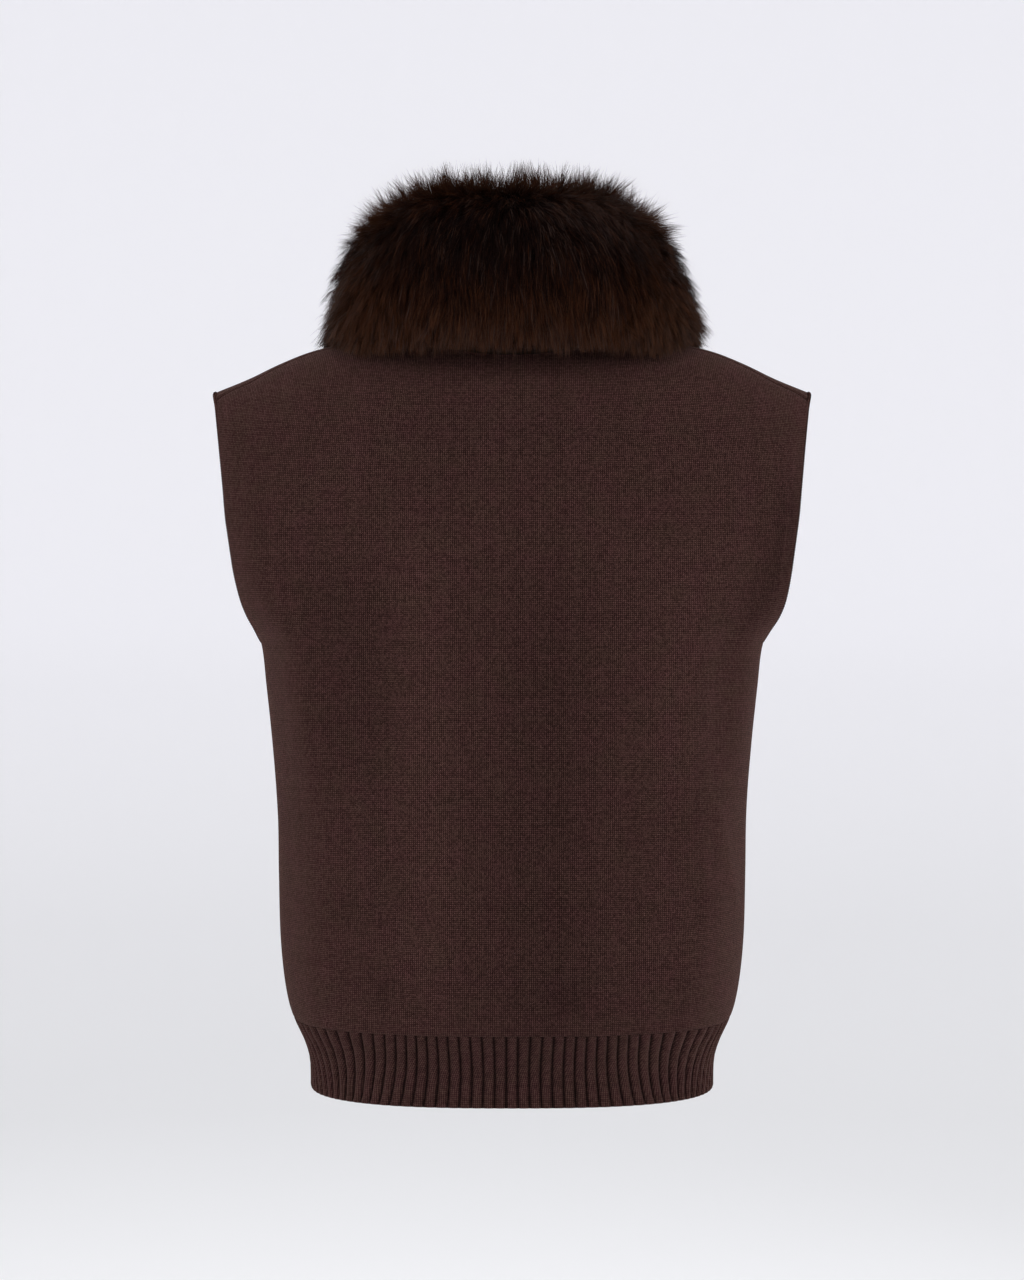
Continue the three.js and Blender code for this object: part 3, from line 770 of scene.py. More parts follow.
def ribbedHem(name, facing, start, end, ribs, nodes):
    shares = np.linspace(0, 1, ribs * hemLook["steps"] + 1)
    fromEnds = np.minimum(shares, 1 - shares) * ribs
    random = np.random.default_rng(hemLook["seed"])
    places, reach = hemLook["driftPlaces"], hemLook["drift"]
    drift = np.interp(shares, np.linspace(0, 1, places), random.uniform(-reach, reach, places))
    drift = drift * np.minimum(1, fromEnds / 3)
    phase = shares * ribs
    fromGroove = np.abs(phase - np.rint(phase))
    up, curl = np.array(hemLook["rows"]), np.array(hemLook["curl"])
    rowHeights = hem["bottom"] + up
    angles = evenAngles(facing, start, end, shares)[None, :]
    step = (angles[0, -1] - angles[0, 0]) / ribs
    if facing < 0:
        beside = angleAt(-1, bandEdge - hemLook["underBand"], rowHeights) * np.sign(start)
        angles = angles + (beside - start)[:, None] * (1 - shares)
    # the ribs gather towards a place on each side
    fromPinch = np.abs(angles) / degree - hem["pinchAt"]
    gather = hem["pinch"] * np.exp(-((fromPinch / hem["pinchWidth"]) ** 2)) * fromPinch * degree
    gather = np.sign(angles) * gather * np.minimum(1, fromEnds / 4)
    angles = angles + gather * (up[:, None] / 57 - 0.35)
    angles = angles + drift * np.interp(up, *hemLook["driftBend"])[:, None] * step
    heights = np.repeat(rowHeights[:, None], len(shares), 1)
    cut = np.exp(-((fromGroove / hem["grooveWidth"]) ** 2))
    crown = (fromGroove * 2) ** 2 * hemLook["crown"]
    depth = np.interp(up, *hemLook["grooveDepth"])
    outside = -(hem["groove"] * cut + hemLook["crown"] - crown) * depth[:, None] - curl[:, None]
    points = clothPoint(facing, angles, heights, outside)
    u = runLengths(clothPoint(facing, angles, heights, 0), 1)
    pitch = u[0, -1] / ribs
    groove = np.broadcast_arrays(fromGroove[None, :] * pitch, heights)
    # the tone map carries the painted light and shade
    maps = {"cloth": np.stack([u, heights], -1), "edges": np.stack(groove, -1),
            "tone": paintedLightMap(facing, angles, points)}
    piece = gridPiece(name, points, maps, (facing > 0) == (end > start))
    thicken(piece, hem["wall"])
    dress(piece, ribKnit, nodes)


hemEnd = float(sideEnd(np.array(float(hem["bottom"]))))
hemStart = float(angleAt(-1, bandEdge, np.array(float(hem["bottom"]))))
ribbedHem("hemRibBack", 1, -hemEnd, hemEnd, hemLook["backRibs"], ["hem_rib_back"])
for name, hand, node in (("hemRibFrontLeft", 1, "hem_rib_front_left"),
                         ("hemRibFrontRight", -1, "hem_rib_front_right")):
    ribbedHem(name, -1, hemStart * hand, hemEnd * hand, hemLook["frontRibs"], [node])
print("hem made")


# Plain bands down the two front edges.
bandLook = {
    "flat": (0.018, 0.56),
    "columns": 13,
    "rows": 110,
    "archRows": 12,
    "hemRows": [0, 0.3, 1.2, 3],
    "hemCurl": [1.4, 0.8, 0.25, 0.05],
    "rowsFrom": 7,
    "apart": 0.01,  # from the middle
    "roll": 0.9,
    "rollWidth": 1.2,
}


def frontBand(name, hand, node):
    x = np.linspace(bandLook["apart"], bands["width"], bandLook["columns"])
    heights = np.linspace(hem["bottom"] + bandLook["rowsFrom"], arch["start"], bandLook["rows"])
    heights = np.concatenate([hem["bottom"] + np.array(bandLook["hemRows"]), heights])
    rise = np.linspace(0, 1, bandLook["archRows"])[1:]
    angles = angleAt(-1, x[None, :], heights[:, None] + 0 * x[None, :])
    top = frontTop(angleAt(-1, x, np.full(len(x), float(arch["start"]))))
    upper = arch["start"] + (top - arch["start"])[None, :] * rise[:, None]
    angles = np.concatenate([angles, angleAt(-1, x[None, :] + 0 * upper, upper)]) * hand
    level = np.concatenate([np.repeat(heights[:, None], len(x), 1), upper])
    fromEdge = np.minimum(x - x[0], x[-1] - x)
    roll = bandLook["roll"] * np.exp(-((fromEdge / bandLook["rollWidth"]) ** 2))
    curl = np.zeros(len(level))
    curl[:len(bandLook["hemCurl"])] = bandLook["hemCurl"]
    points = clothPoint(-1, angles, level, -roll[None, :] - curl[:, None])
    u, v = runLengths(points, 1), runLengths(points, 0)
    piece = gridPiece(name, points, {"cloth": np.stack([u, v], -1)}, hand < 0)
    thicken(piece, bands["wall"])
    dress(piece, bandKnit, [node])


frontBand("frontBandLeft", 1, "front_band_left")
frontBand("frontBandRight", -1, "front_band_right")
print("front bands made")


# The chain edge round each armhole, with a little nub at the shoulder tip.
chain = {"pitch": 2.1, "radius": 1.05, "swell": 0.8, "plumpness": 0.6, "sunk": 1.2, "nub": 1.3,
         "nubHeight": 9, "lean": 60, "pathSteps": 160, "stepsEach": 5, "round": 9}


def armholeEdge(name, hand, node):
    turns = np.linspace(0, quarter, chain["pathSteps"])
    low = armhole["straight"] - (armhole["straight"] - armhole["bottom"]) * np.cos(turns)
    upper = heightOfArch(turns)
    path = [(1, low), (1, upper), (-1, upper[::-1][1:]), (-1, low[::-1][1:])]
    line = np.concatenate([clothPoint(facing, edgeAngle(height) * hand, height, -chain["sunk"])
                           for facing, height in path])
    line[0] = line[-1] = (line[0] + line[-1]) / 2
    fromTip = (line[:, 2].max() - line[:, 2]) / chain["nubHeight"]
    line[:, 0] += hand * chain["nub"] * np.exp(-(fromTip ** 2))
    lengths = runLengths(line[None], 1)[0]
    count = int(round(lengths[-1] / chain["pitch"]))
    at = np.linspace(0, lengths[-1], count * chain["stepsEach"] + 1)
    middle = np.stack([np.interp(at, lengths, line[:, k]) for k in range(3)], -1)
    ahead = np.roll(middle[:-1], -1, 0) - np.roll(middle[:-1], 1, 0)
    ahead = np.concatenate([ahead, ahead[:1]])
    ahead /= np.linalg.norm(ahead, axis=-1, keepdims=True)
    away = middle - np.stack([middle[:, 0] - hand * chain["lean"], 0 * at, middle[:, 2]], -1)
    away -= ahead * np.sum(away * ahead, -1, keepdims=True)
    away /= np.linalg.norm(away, axis=-1, keepdims=True)
    beside = np.cross(ahead, away)
    wave = np.abs(np.sin(np.pi * at / lengths[-1] * count)) ** chain["plumpness"]
    around = np.linspace(0, 4 * quarter, chain["round"])
    radius = (chain["radius"] + chain["swell"] * wave)[:, None, None]
    ring = (away[:, None] * np.cos(around)[None, :, None]
            + beside[:, None] * np.sin(around)[None, :, None])
    points = middle[:, None] + ring * radius
    maps = {"cloth": np.stack(np.broadcast_arrays(around[None, :] * 1.4, at[:, None]), -1)}
    piece = gridPiece(name, points, maps, False, close=True)
    dress(piece, edging, [node])
    return piece


armholeEdges = [armholeEdge("armholeEdgeLeft", 1, "armhole_edge_left"),
                armholeEdge("armholeEdgeRight", -1, "armhole_edge_right")]
print("armhole edges made")

# The fur collar's outer size at turns from the centre back: the ridge, the furthest point inwards,
# the middle of the outer face and the lower edge.
collar = {
    "turn": [0, 30, 60, 90, 115, 140, 160, 174],
    "ridgeR": [17, 17, 15, 12, 12, 13, 14, 13],
    "ridgeZ": [117, 118, 111, 99, 72, 25, -20, -48],
    "inner": [-13, -13, -14, -15, -14, -12, -9, -5],
    "outerR": [57, 58, 56, 54, 54, 49, 42, 34],
    "hemR": [47, 49, 57, 67, 66, 43, 30, 25],
    "hemZ": [-25, -24, -20, -8, -38, -98, -130, -124],
}
outlinePoints, ridgePoint, hemPoint = 14, 4, 9
# The pelt lies within that size, by an inset at each point of the outline.
pelt = {
    "sections": 116,
    "around": 70,
    "neckline": -1.2,
    "shoulder": 3,
    "endTurn": 9 * degree,
    "endSize": 0.35,
    "sideLower": 0.85,
    "inset": [0, 3, 6, 9, 15, 12.5, 12, 12, 11, 8, 5, 3, 1, 0.5],
    "sideInset": [0, 0, 0, 0, 3, 12, 8, 2, 1, 4, 2, 0, 0, 0],
    "raise": [0, 0, 0, 0, 0, 0, 0, 0, 4, 14, 12, 8, 3, 0],
}


# Height of the jacket's outer surface under places on the shoulders.
def surfaceTop(x, y):
    facing = np.where(y >= 0, 1, -1)
    height = np.full(np.shape(x), heightOfArch(quarter))
    beyond = np.zeros(np.shape(x), bool)
    for attempt in range(5):
        angle = angleAt(facing, np.abs(x), height)
        start = bodyPoint(facing, angle, arch["start"] + 0 * height)
        beyond = beyond | (np.abs(start[..., 1]) < np.abs(y))
        height = solve(arch["start"], heightOfArch(quarter),
                       lambda h: np.abs(bodyPoint(facing, angle, h)[..., 1]) - np.abs(y))
    point = bodyPoint(facing, angle, height)
    return np.where(beyond, -1e9, point[..., 2])


# The neckline at turns from the centre back, and the level way outwards from it.
def necklineAt(turn):
    x, y = neck["halfWidth"] * np.sin(turn), neck["back"] * np.cos(turn)
    behind = np.cos(turn) >= 0
    top = heightOfArch(quarter)

    def under(height):
        return bodyPoint(-1, angleAt(-1, np.abs(x), height), height)

    level = np.minimum(neck["level"] + neck["frontDip"] * np.cos(turn), under(top + 0 * x)[:, 2])
    point = under(solve(arch["start"], top, lambda h: under(h)[:, 2] - level + 0 * h))
    at = np.stack([x, np.where(behind, y, point[:, 1]), point[:, 2]], -1)
    at[:, 2] = np.where(behind, surfaceTop(x, np.abs(y)), point[:, 2])
    depth = np.where(behind, neck["back"], neck["front"])
    away = np.stack([np.sin(turn) / neck["halfWidth"], np.cos(turn) / depth], -1)
    return at, away / np.linalg.norm(away, axis=-1, keepdims=True)


# The collar's outer sections, each a loop of points (r, z) outwards from the neckline.
def collarOutlines(turn):
    at, away = necklineAt(turn)
    ridgeR, ridgeZ, inner, outerR, hemR, hemZ = [
        readTable(collar, "turn", column, np.abs(turn) / degree)
        for column in ("ridgeR", "ridgeZ", "inner", "outerR", "hemR", "hemZ")]
    base = at[:, 2] + pelt["neckline"]
    rise, fall = ridgeZ - base, ridgeZ - hemZ

    def clear(r):
        return surfaceTop(at[:, 0] + away[:, 0] * r, at[:, 1] + away[:, 1] * r) + pelt["shoulder"]

    outline = [
        (0 * base, base),
        (inner * 0.55, base + rise * 0.2),
        (inner, base + rise * 0.55),
        (inner * 0.5, base + rise * 0.86),
        (ridgeR, ridgeZ),
        (ridgeR + (outerR - ridgeR) * 0.62, ridgeZ - fall * 0.09),
        (outerR * 0.94, ridgeZ - fall * 0.3),
        (outerR, ridgeZ - fall * 0.55),
        (outerR + (hemR - outerR) * 0.45, ridgeZ - fall * 0.85),
        (hemR, np.maximum(hemZ, clear(hemR))),
    ]
    for share in (0.8, 0.6, 0.4, 0.2):
        straight = base + (hemZ - base) * share
        outline.append((hemR * share, np.maximum(straight, clear(hemR * share))))
    return at, away, np.stack([np.stack(point, -1) for point in outline], 1)


# A smooth loop through an outline's points, at places counted in those points.
def roundOutline(points, places):
    count = len(points)
    i = np.floor(places).astype(int)
    t = (places - i)[:, None]
    p = [points[(i + k) % count] for k in (-1, 0, 1, 2)]
    return 0.5 * (2 * p[1] + (p[2] - p[0]) * t + (2 * p[0] - 5 * p[1] + 4 * p[2] - p[3]) * t ** 2
                  + (3 * p[1] - p[0] - 3 * p[2] + p[3]) * t ** 3)


def unit(v):
    return v / np.maximum(np.linalg.norm(v, axis=-1, keepdims=True), 1e-9)


def peltGrid():
    last = collar["turn"][-1] * degree
    turns = np.linspace(-last, last, pelt["sections"] + 1)
    places = np.linspace(0, outlinePoints, pelt["around"] + 1)
    rings = []
    for turn, at, away, outline in zip(turns, *collarOutlines(turns)):
        thin = float(readTable(collar, "turn", "outerR", abs(turn) / degree)) / collar["outerR"][0]
        aside = smooth(0.55, 0.9, abs(math.sin(turn))) * smooth(-0.6, 0.0, math.cos(turn))
        inset = np.array(pelt["inset"]) + aside * np.array(pelt["sideInset"])
        ahead = unit(np.roll(outline, -1, 0) - np.roll(outline, 1, 0))
        inward = np.stack([ahead[:, 1], -ahead[:, 0]], -1)
        moved = outline + inward * inset[:, None] * thin
        moved[:, 1] += np.array(pelt["raise"]) * (1 - pelt["sideLower"] * aside)
        curve = roundOutline(moved, places)
        centre = curve[:-1].mean(0)
        ends = np.clip((last - abs(turn)) / pelt["endTurn"], 0, 1)
        taper = pelt["endSize"] + (1 - pelt["endSize"]) * math.sqrt(1 - (1 - ends) ** 2)
        curve = centre + (curve - centre) * taper
        r = curve[:, 0]
        rings.append(np.stack([at[0] + away[0] * r, at[1] + away[1] * r, curve[:, 1]], -1))
    return turns, places, np.array(rings)


def peltFinish():
    finish = Finish("pelt")
    grain = finish.noise(finish.node("ShaderNodeTexCoord", {}, {}, "Object"), 260, 3, 0.6)
    colour = finish.mix(grain, (0.0035, 0.0018, 0.0014, 1), (0.010, 0.005, 0.0034, 1))
    return finish.surface({"Base Color": colour, "Roughness": 1.0, "Specular IOR Level": 0.05,
                           "Normal": finish.bump(grain, 0.002, 0.8)})


peltTurns, peltPlaces, peltRings = peltGrid()
peltCloth = np.broadcast_arrays(peltPlaces[None, :] * 9.0, peltTurns[:, None] * 100.0)
furPelt = gridPiece("collarPelt", peltRings, {"cloth": np.stack(peltCloth, -1)}, False, close=True)
dress(furPelt, peltFinish(), ["fur_collar"])
print("collar pelt made")

# The hair. Shades run from near black to greyish brown, each with a colour at the root and one at
# the tip. Thickness is given round the pelt from the neckline inside, and the tables after it by
# height on the pelt, which is 0 on the ridge, 1 at the lower edge and -1 inside.
furLook = {
    "seed": 11,
    "hairs": 226000,
    "clumpSize": 3.5,
    "width": 0.42,
    "shades": [
        (0.0, (0.0014, 0.0006, 0.0005), (0.0044, 0.0019, 0.0016)),
        (0.3, (0.0024, 0.0010, 0.0006), (0.0145, 0.0052, 0.0032)),
        (0.6, (0.0042, 0.0015, 0.0008), (0.0460, 0.0138, 0.0048)),
        (0.8, (0.0056, 0.0024, 0.0014), (0.0640, 0.0260, 0.0130)),
        (1.0, (0.0032, 0.0020, 0.0018), (0.0450, 0.0310, 0.0280)),
    ],
    "thickness": ([0, 0.6, 1.2, 3, 3.5, 4, 4.6, 9.0, 10.2, 10.9, 14],
                  [0, 0.2, 0.45, 0.5, 1, 1.7, 1.1, 1.2, 1.2, 0, 0]),
    "guards": ([0, 0.12, 0.3], [0.36, 0.3, 0.14]),
    "lift": ([-1, -0.3, -0.06, 0.1, 0.3, 0.6, 0.9, 1.15],
             [0.5, 1.0, 2.6, 2.0, 0.6, 0.4, 0.36, 0.3]),
    "fall": ([-1, -0.2, 0.05, 0.3, 0.6], [0.8, 0.4, 0.3, 0.75, 1.0]),
    "length": ([-1, -0.4, -0.08, 0.08, 0.3, 0.7, 0.9, 1.1], [15, 18, 27, 29, 25, 30, 30, 22]),
    "sag": ([-1, -0.1, 0.1, 0.3, 1], [0.15, 0.08, 0.12, 0.35, 0.3]),
    "lengths": (6, 40),
    "shortest": (4, 10),
    "parting": -2,
    "partWidth": 36,
    "swirlRight": 2.0,
    "swirlLeft": 0.8,
    "fan": 0.62,
    "guardLength": 1.32,
    "guardWidth": 0.7,
    "stations": [0, 0.52, 1.0],
    "taper": [0.9, 0.85, 0.0],
    "darkPatch": (12, 48, 0.34, 0.22),
    "greyPatch": (-62, 48, 0.2, 0.2),
    "inside": -0.12,
    "backTurn": 52 * degree,
    "sideTurn": 118 * degree,
}


def furFinish():
    finish = Finish("fur")
    tint, along = finish.map("hair")[:2]
    rootRamp = [(at, root) for at, root, tip in furLook["shades"]]
    tipRamp = [(at, tip) for at, root, tip in furLook["shades"]]
    roots = finish.node("ShaderNodeValToRGB", {"stops": rootRamp}, {0: tint})
    tips = finish.node("ShaderNodeValToRGB", {"stops": tipRamp}, {0: tint})
    colour = finish.mix((along * 1.15).clipped(), roots, tips)
    return finish.surface({"Base Color": colour, "Roughness": 0.55, "Specular IOR Level": 0.02})


# Shoulder heights under points, read from a level table of them.
tableStep = 6
shoulderX, shoulderY = np.arange(-240, 241, tableStep), np.arange(-126, 127, tableStep)
shoulderTable = surfaceTop(*np.meshgrid(shoulderX * 1.0, shoulderY * 1.0))


def shoulderHeights(points):
    column = np.clip((points[:, 0] - shoulderX[0]) / tableStep, 0, len(shoulderX) - 1.001)
    row = np.clip((points[:, 1] - shoulderY[0]) / tableStep, 0, len(shoulderY) - 1.001)
    i, j = row.astype(int), column.astype(int)
    s, t = row - i, column - j
    return ((shoulderTable[i, j] * (1 - t) + shoulderTable[i, j + 1] * t) * (1 - s)
            + (shoulderTable[i + 1, j] * (1 - t) + shoulderTable[i + 1, j + 1] * t) * s)


def grown(name, at):
    return np.interp(at, *furLook[name])


# Roots on the pelt, with the ways down it and out of it, their turn and height, and the number of
# clumps that the hair makes.
def plantHairs(random):
    a, b = peltRings[:-1, :-1], peltRings[1:, :-1]
    c, d = peltRings[:-1, 1:], peltRings[1:, 1:]
    area = np.linalg.norm(np.cross(b - a + d - c, c - a + d - b), axis=-1) / 4
    weight = area * grown("thickness", (peltPlaces[:-1] + peltPlaces[1:]) / 2)[None, :]
    total = furLook["hairs"]
    cell = random.choice(weight.size, total, p=(weight / weight.sum()).ravel())
    i, j = np.unravel_index(cell, weight.shape)
    s, t = random.random(total), random.random(total)
    turn = peltTurns[i] + (peltTurns[1] - peltTurns[0]) * s
    spot = peltPlaces[j] + (peltPlaces[1] - peltPlaces[0]) * t
    h = np.clip((spot - ridgePoint) / (hemPoint - ridgePoint), -1, 1.4)
    s, t = s[:, None], t[:, None]
    a, b, c, d = a[i, j], b[i, j], c[i, j], d[i, j]
    root = (a * (1 - s) + b * s) * (1 - t) + (c * (1 - s) + d * s) * t
    down = unit(c - a)
    normal = unit(np.cross(unit(b - a), down))
    return root, down, normal, turn, h, int(weight.sum() / furLook["clumpSize"] ** 2)


# The hair at the heart of each hair's clump, and six random values that a clump's hairs share.
def gatherClumps(random, root, clumps):
    pick = random.choice(len(root), clumps, replace=False)
    tree = KDTree(clumps)
    for n, k in enumerate(pick):
        tree.insert(root[k], n)
    tree.balance()
    mine = np.array([tree.find(p)[1] for p in root])
    return pick[mine], random.normal(0, 1, (clumps, 6))[mine]


# The way each hair grows. Behind, the hair swirls away from a parting.
def hairWay(random, root, down, normal, h, shared, guard, behind, aside, loose):
    x, z = root[:, 0], root[:, 2]
    off = x - furLook["parting"]
    parted = np.sign(off) * smooth(-6, furLook["partWidth"], np.abs(off))
    high = 1 - smooth(0.1, 0.62, h)
    swirl = np.where(off < 0, furLook["swirlRight"] * (1 - 0.7 * aside), furLook["swirlLeft"])
    swirl = swirl * behind * high * parted * smooth(0.02, 0.2, h)
    drift = np.sin(x * 0.11 + z * 0.05) + np.sin(x * 0.047 - z * 0.09 + 1.3)
    swirl = swirl + 0.17 * drift * smooth(0.1, 0.4, h)
    fan = np.clip(x / 110, -1, 1) * furLook["fan"] * behind * (1 - smooth(0.0, 0.15, np.abs(h)))
    lift = grown("lift", h) * (1 + (0.22 + 0.2 * aside) * shared[:, 5])
    lift = lift * (1 + np.where(guard, 1.4, 0.7) * (aside * smooth(0.05, 0.3, h)))
    outwards = np.array([1.0, 0, 0]) * (swirl + fan)[:, None]
    way = unit(down * grown("fall", h)[:, None] + normal * lift[:, None] + outwards)
    wild = random.normal(0, 1, root.shape) * np.where(guard, 0.27, 0.16)[:, None]
    wild = wild * (1 + 0.2 * (1 - smooth(0.0, 0.3, np.abs(h))))[:, None]
    hang = np.array([0, 0, -1.0]) + 0.22 * unit(normal * np.array([1, 1, 0]))
    way = way + (hang - way) * smooth(0.72, 0.92, h)[:, None]
    return unit(way + shared[:, :3] * (0.18 + 0.1 * loose)[:, None] + wild)


# How long each hair is. Hairs that fall end near the collar's lower edge.
def hairLength(random, root, turn, h, way, sag, shared, guard, aside, loose):
    total = len(root)
    length = grown("length", h) * (1 - 0.08 * aside * (1 - smooth(0.12, 0.4, h)))
    length = length * (1 + (0.16 + 0.12 * loose) * shared[:, 3])
    shorter = 0.6 - 0.25 * (1 - smooth(0.08, 0.25, np.abs(h)))
    length = length * (shorter + (1.12 - shorter) * random.random(total))
    length = np.clip(length * np.where(guard, furLook["guardLength"], 1), *furLook["lengths"])
    lowest = readTable(collar, "turn", "hemZ", np.abs(turn) / degree)
    lowest = lowest - 1.5 - 3 * aside + 15 * random.random(total) ** 1.3 + 2 * shared[:, 1]
    drop = -(way[:, 2] + (-1 - way[:, 2]) * sag)
    shortest = random.uniform(*furLook["shortest"], total)
    room = np.maximum((root[:, 2] - lowest) / np.maximum(drop, 0.05), shortest)
    return np.where((h > 0.2) & (drop > 0.05), np.minimum(length, room), length)


# Points along each hair, drawn to its clump's heart, bent to the ground and kept off the shoulders.
def hairSpine(random, root, way, length, sag, h, heart, guard, aside):
    ground = np.array([0, 0, -1.0])

    def bent(start, towards, size, share):
        reach = (size * share)[:, None]
        return start + towards * reach + (ground - towards) * sag[:, None] * reach * share

    tight = 0.85 + 0.15 * smooth(0.02, 0.3, np.abs(h))
    spine = []
    for share in np.array(furLook["stations"]):
        path = bent(root, way, length, share)
        aim = bent(root[heart], way[heart], length[heart], share)
        pull = (np.where(guard, 0.12, 0.42 + 0.2 * aside) * tight)[:, None] * share ** 1.3
        spine.append(path + (aim - path) * pull)
    spine = np.stack(spine, 1)
    for k in (1, 2):
        above = shoulderHeights(spine[:, k]) + random.uniform(0.5, 3, len(root))
        spine[:, k, 2] = np.maximum(spine[:, k, 2], above)
    return spine


# Ribbons that narrow to a point and face outwards, five points each.
def hairRibbons(random, spine, normal, guard):
    along = unit(spine[:, 1:] - spine[:, :-1])
    along = np.concatenate([along, along[:, -1:]], 1)
    facing = unit(normal + random.normal(0, 0.35, normal.shape))
    across = unit(np.cross(along, facing[:, None]))
    width = furLook["width"] * random.uniform(0.55, 1.2, len(spine))
    width = width * np.where(guard, furLook["guardWidth"], 1)
    half = (width[:, None] * np.array(furLook["taper"]) / 2)[..., None]
    left, right = spine - across * half, spine + across * half
    return np.stack([left[:, 0], right[:, 0], left[:, 1], right[:, 1], spine[:, 2]], 1)


def hairShade(random, x, h, shared, guard, behind, aside):
    def patch(middle, width, height, spread):
        return (np.exp(-(((x - middle) / width) ** 2))
                * np.exp(-(((h - height) / spread) ** 2)) * behind)

    total = len(x)
    belt = smooth(0.15, 0.3, h) * (1 - smooth(0.5, 0.7, h)) * behind
    tint = 0.27 + 0.27 * smooth(0.4, 0.8, h) - 0.2 * patch(*furLook["darkPatch"])
    tint = tint - 0.1 * belt + 0.26 * aside
    tint = tint + np.where(guard, 0.55, 0.4) * (1 - smooth(0.04, 0.34, h))
    tint = np.minimum(tint + 0.1 * shared[:, 4] + random.normal(0, 0.19, total), 0.8)
    streak = random.random(total) + 0.12 * shared[:, 2]
    grey = random.uniform(0.88, 1, total)
    tint = np.where(streak < 0.6 * patch(*furLook["greyPatch"]), grey, tint)
    grey = random.uniform(0.8, 1, total)
    tint = np.where(streak < 0.5 * smooth(0.6, 0.85, h), grey, tint)
    return np.clip(tint, 0.02, 0.98)


def growFur():
    random = np.random.default_rng(furLook["seed"])
    root, down, normal, turn, h, clumps = plantHairs(random)
    heart, shared = gatherClumps(random, root, clumps)
    behind = smooth(-0.2, 0.35, np.cos(turn))
    aside = smooth(0.6, 0.93, np.abs(np.sin(turn)))
    loose = np.maximum(1 - smooth(0.05, 0.3, np.abs(h)), aside)
    guard = random.random(len(root)) < grown("guards", np.abs(h))
    sag = grown("sag", h)
    way = hairWay(random, root, down, normal, h, shared, guard, behind, aside, loose)
    length = hairLength(random, root, turn, h, way, sag, shared, guard, aside, loose)
    spine = hairSpine(random, root, way, length, sag, h, heart, guard, aside)
    points = hairRibbons(random, spine, normal, guard)
    return points, hairShade(random, root[:, 0], h, shared, guard, behind, aside), turn, h


# Each hair is a face of four corners and one of three.
def furMesh(name, points, tint, finish):
    count = len(points)
    mesh = bpy.data.meshes.new(name)
    mesh.vertices.add(count * 5)
    mesh.vertices.foreach_set("co", (points * mm).astype(np.float32).ravel())
    corners = np.array([0, 1, 3, 2, 2, 3, 4])
    loops = (np.arange(count)[:, None] * 5 + corners).ravel()
    mesh.loops.add(len(loops))
    mesh.loops.foreach_set("vertex_index", loops)
    mesh.polygons.add(count * 2)
    mesh.polygons.foreach_set("loop_start", (np.arange(count)[:, None] * 7 + [0, 4]).ravel())
    mesh.update(calc_edges=True)
    root, middle, tip = furLook["stations"]
    level = np.array([root, root, middle, middle, tip])[corners]
    values = np.stack(np.broadcast_arrays(tint[:, None], level[None, :]), -1).ravel()
    for mapName in ("hair", "OFBake"):
        layer = mesh.uv_layers.new(name=mapName)
        layer.uv.foreach_set("vector", values)
    mesh.shade_smooth()
    dress(addObject(name, mesh), finish, ["fur_collar"])
    print(name, count, "hairs")


furPoints, furTint, furTurn, furHeight = growFur()
fur = furFinish()
outerHair = furHeight > furLook["inside"]
backTurn, sideTurn = furLook["backTurn"], furLook["sideTurn"]
furParts = {
    "collarFurBack": outerHair & (np.abs(furTurn) < backTurn),
    "collarFurLeft": outerHair & (furTurn >= backTurn) & (furTurn < sideTurn),
    "collarFurRight": outerHair & (furTurn <= -backTurn) & (furTurn > -sideTurn),
    "collarFurFrontLeft": outerHair & (furTurn >= sideTurn),
    "collarFurFrontRight": outerHair & (furTurn <= -sideTurn),
    "collarFurInside": ~outerHair,
}
for name, chosen in furParts.items():
    furMesh(name, furPoints[chosen], furTint[chosen], fur)

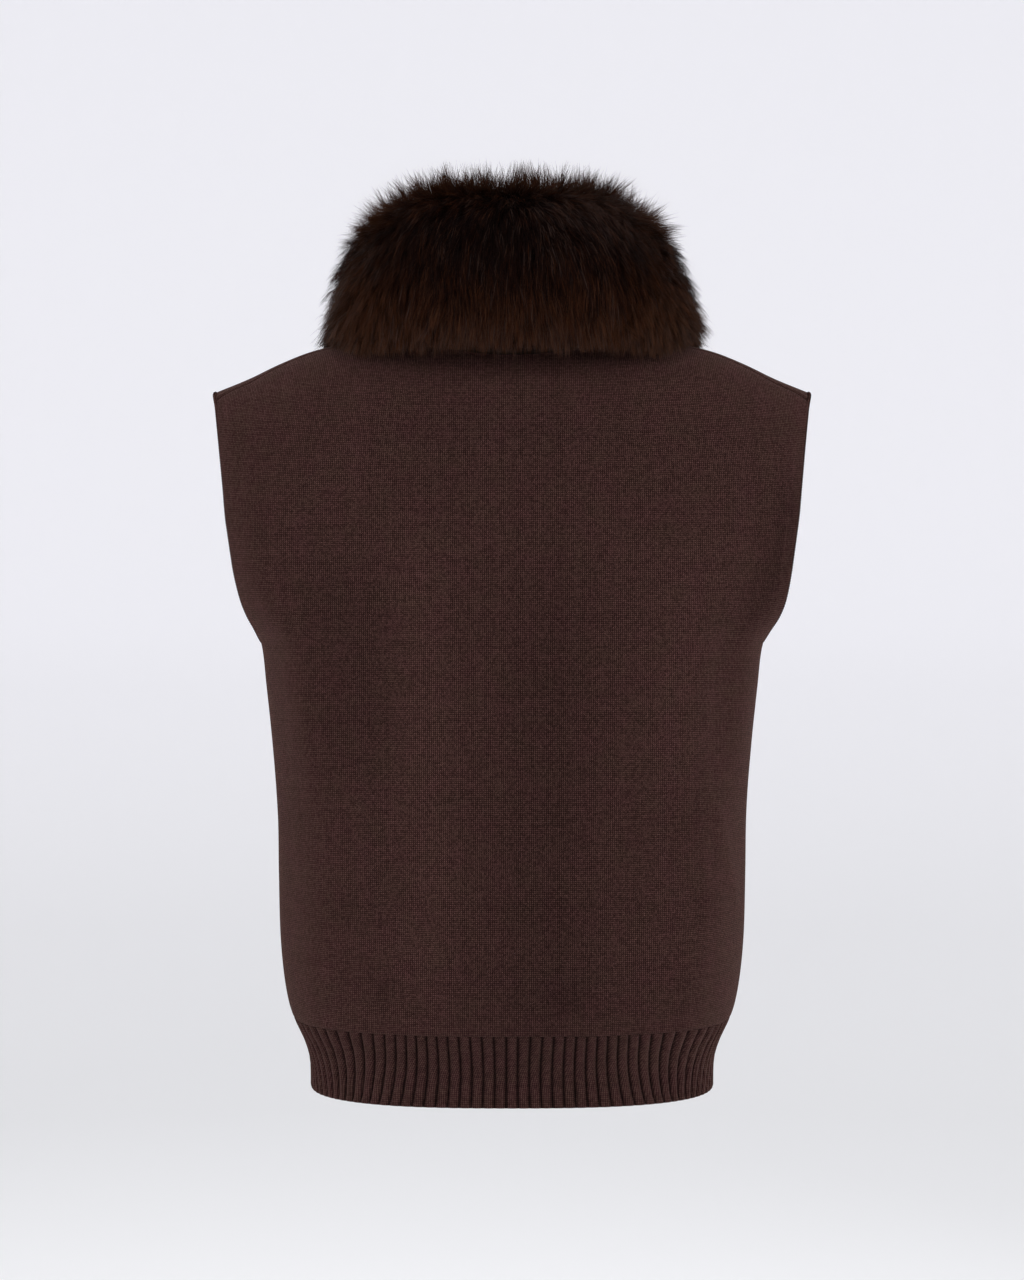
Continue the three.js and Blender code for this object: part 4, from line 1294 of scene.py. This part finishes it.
# The studio, in metres. The floor runs up into a round wall, and each softbox has a place, a size
# and a power.
studio = {
    "floorDrop": 0.9,
    "profile": [(0.0, 0.0), (3.0, 0.0), (4.4, 0.06), (5.6, 0.4), (6.5, 1.1), (6.9, 2.1), (7.0, 3.4),
                (7.0, 5.0)],
    "steps": 64,
    "glowFrom": 1.5,
    "glowOver": 1.3,
    "glowLow": (0.13, 0.13, 0.112, 1),
    "glowHigh": (0.24, 0.235, 0.245, 1),
    "world": (0.86, 0.87, 0.91, 1),
    "worldStrength": 0.64,
}
softboxes = {
    "keyLight": ((-1.5, 2.4, 1.0), (1.6, 1.6), 22),
    "fillLight": ((1.7, 2.2, 0.4), (1.6, 1.8), 15),
    "frontKey": ((1.4, -2.3, 1.4), (1.6, 1.6), 20),
    "frontFill": ((-1.7, -2.0, 0.6), (1.6, 1.8), 15),
    "sideLeft": ((2.4, -0.1, 0.0), (0.7, 2.0), 14),
    "sideRight": ((-2.4, -0.1, 0.0), (0.7, 2.0), 14),
    "topLight": ((0, 0, 2.4), (2.2, 2.2), 22),
}


def backdropFinish():
    finish = Finish("backdrop")
    spot = finish.node("ShaderNodeTexCoord", {}, {}, "Object")
    up = finish.node("ShaderNodeSeparateXYZ", {}, {0: spot}, "Z")
    high = ((up + studio["glowFrom"]) / studio["glowOver"]).clipped()
    glow = finish.mix(high, studio["glowLow"], studio["glowHigh"])
    return finish.surface({"Base Color": (0.80, 0.80, 0.82, 1), "Roughness": 1.0,
                           "Specular IOR Level": 0.0, "Emission Color": glow,
                           "Emission Strength": 1.0})


def makeFloor():
    shape = bmesh.new()
    floor = cadBox[0][2] - studio["floorDrop"]
    verts = [shape.verts.new((r, 0, floor + z)) for r, z in studio["profile"]]
    edges = [shape.edges.new(pair) for pair in zip(verts, verts[1:])]
    bmesh.ops.spin(shape, geom=verts + edges, cent=(0, 0, 0), axis=(0, 0, 1), angle=4 * quarter,
                   steps=studio["steps"], use_merge=True)
    bmesh.ops.remove_doubles(shape, verts=shape.verts, dist=1e-4)
    mesh = bpy.data.meshes.new("floor")
    shape.to_mesh(mesh)
    shape.free()
    mesh.shade_smooth()
    mesh.materials.append(backdropFinish())
    addObject("floor", mesh)


def softbox(name, spot, size, power):
    light = bpy.data.lights.new(name, "AREA")
    light.shape = "RECTANGLE"
    light.size, light.size_y = size
    light.energy = power
    holder = addObject(name, light)
    holder.location = spot
    aim = Vector((0, 0, middleHeight)) - Vector(spot)
    holder.rotation_euler = aim.to_track_quat("-Z", "Y").to_euler()


makeFloor()
for name, (spot, size, power) in softboxes.items():
    softbox(name, spot, size, power)
world = bpy.data.worlds.new("studio")
bpy.context.scene.world = world
world.use_nodes = True
background = world.node_tree.nodes["Background"]
background.inputs["Color"].default_value = studio["world"]
background.inputs["Strength"].default_value = studio["worldStrength"]
print("studio made")
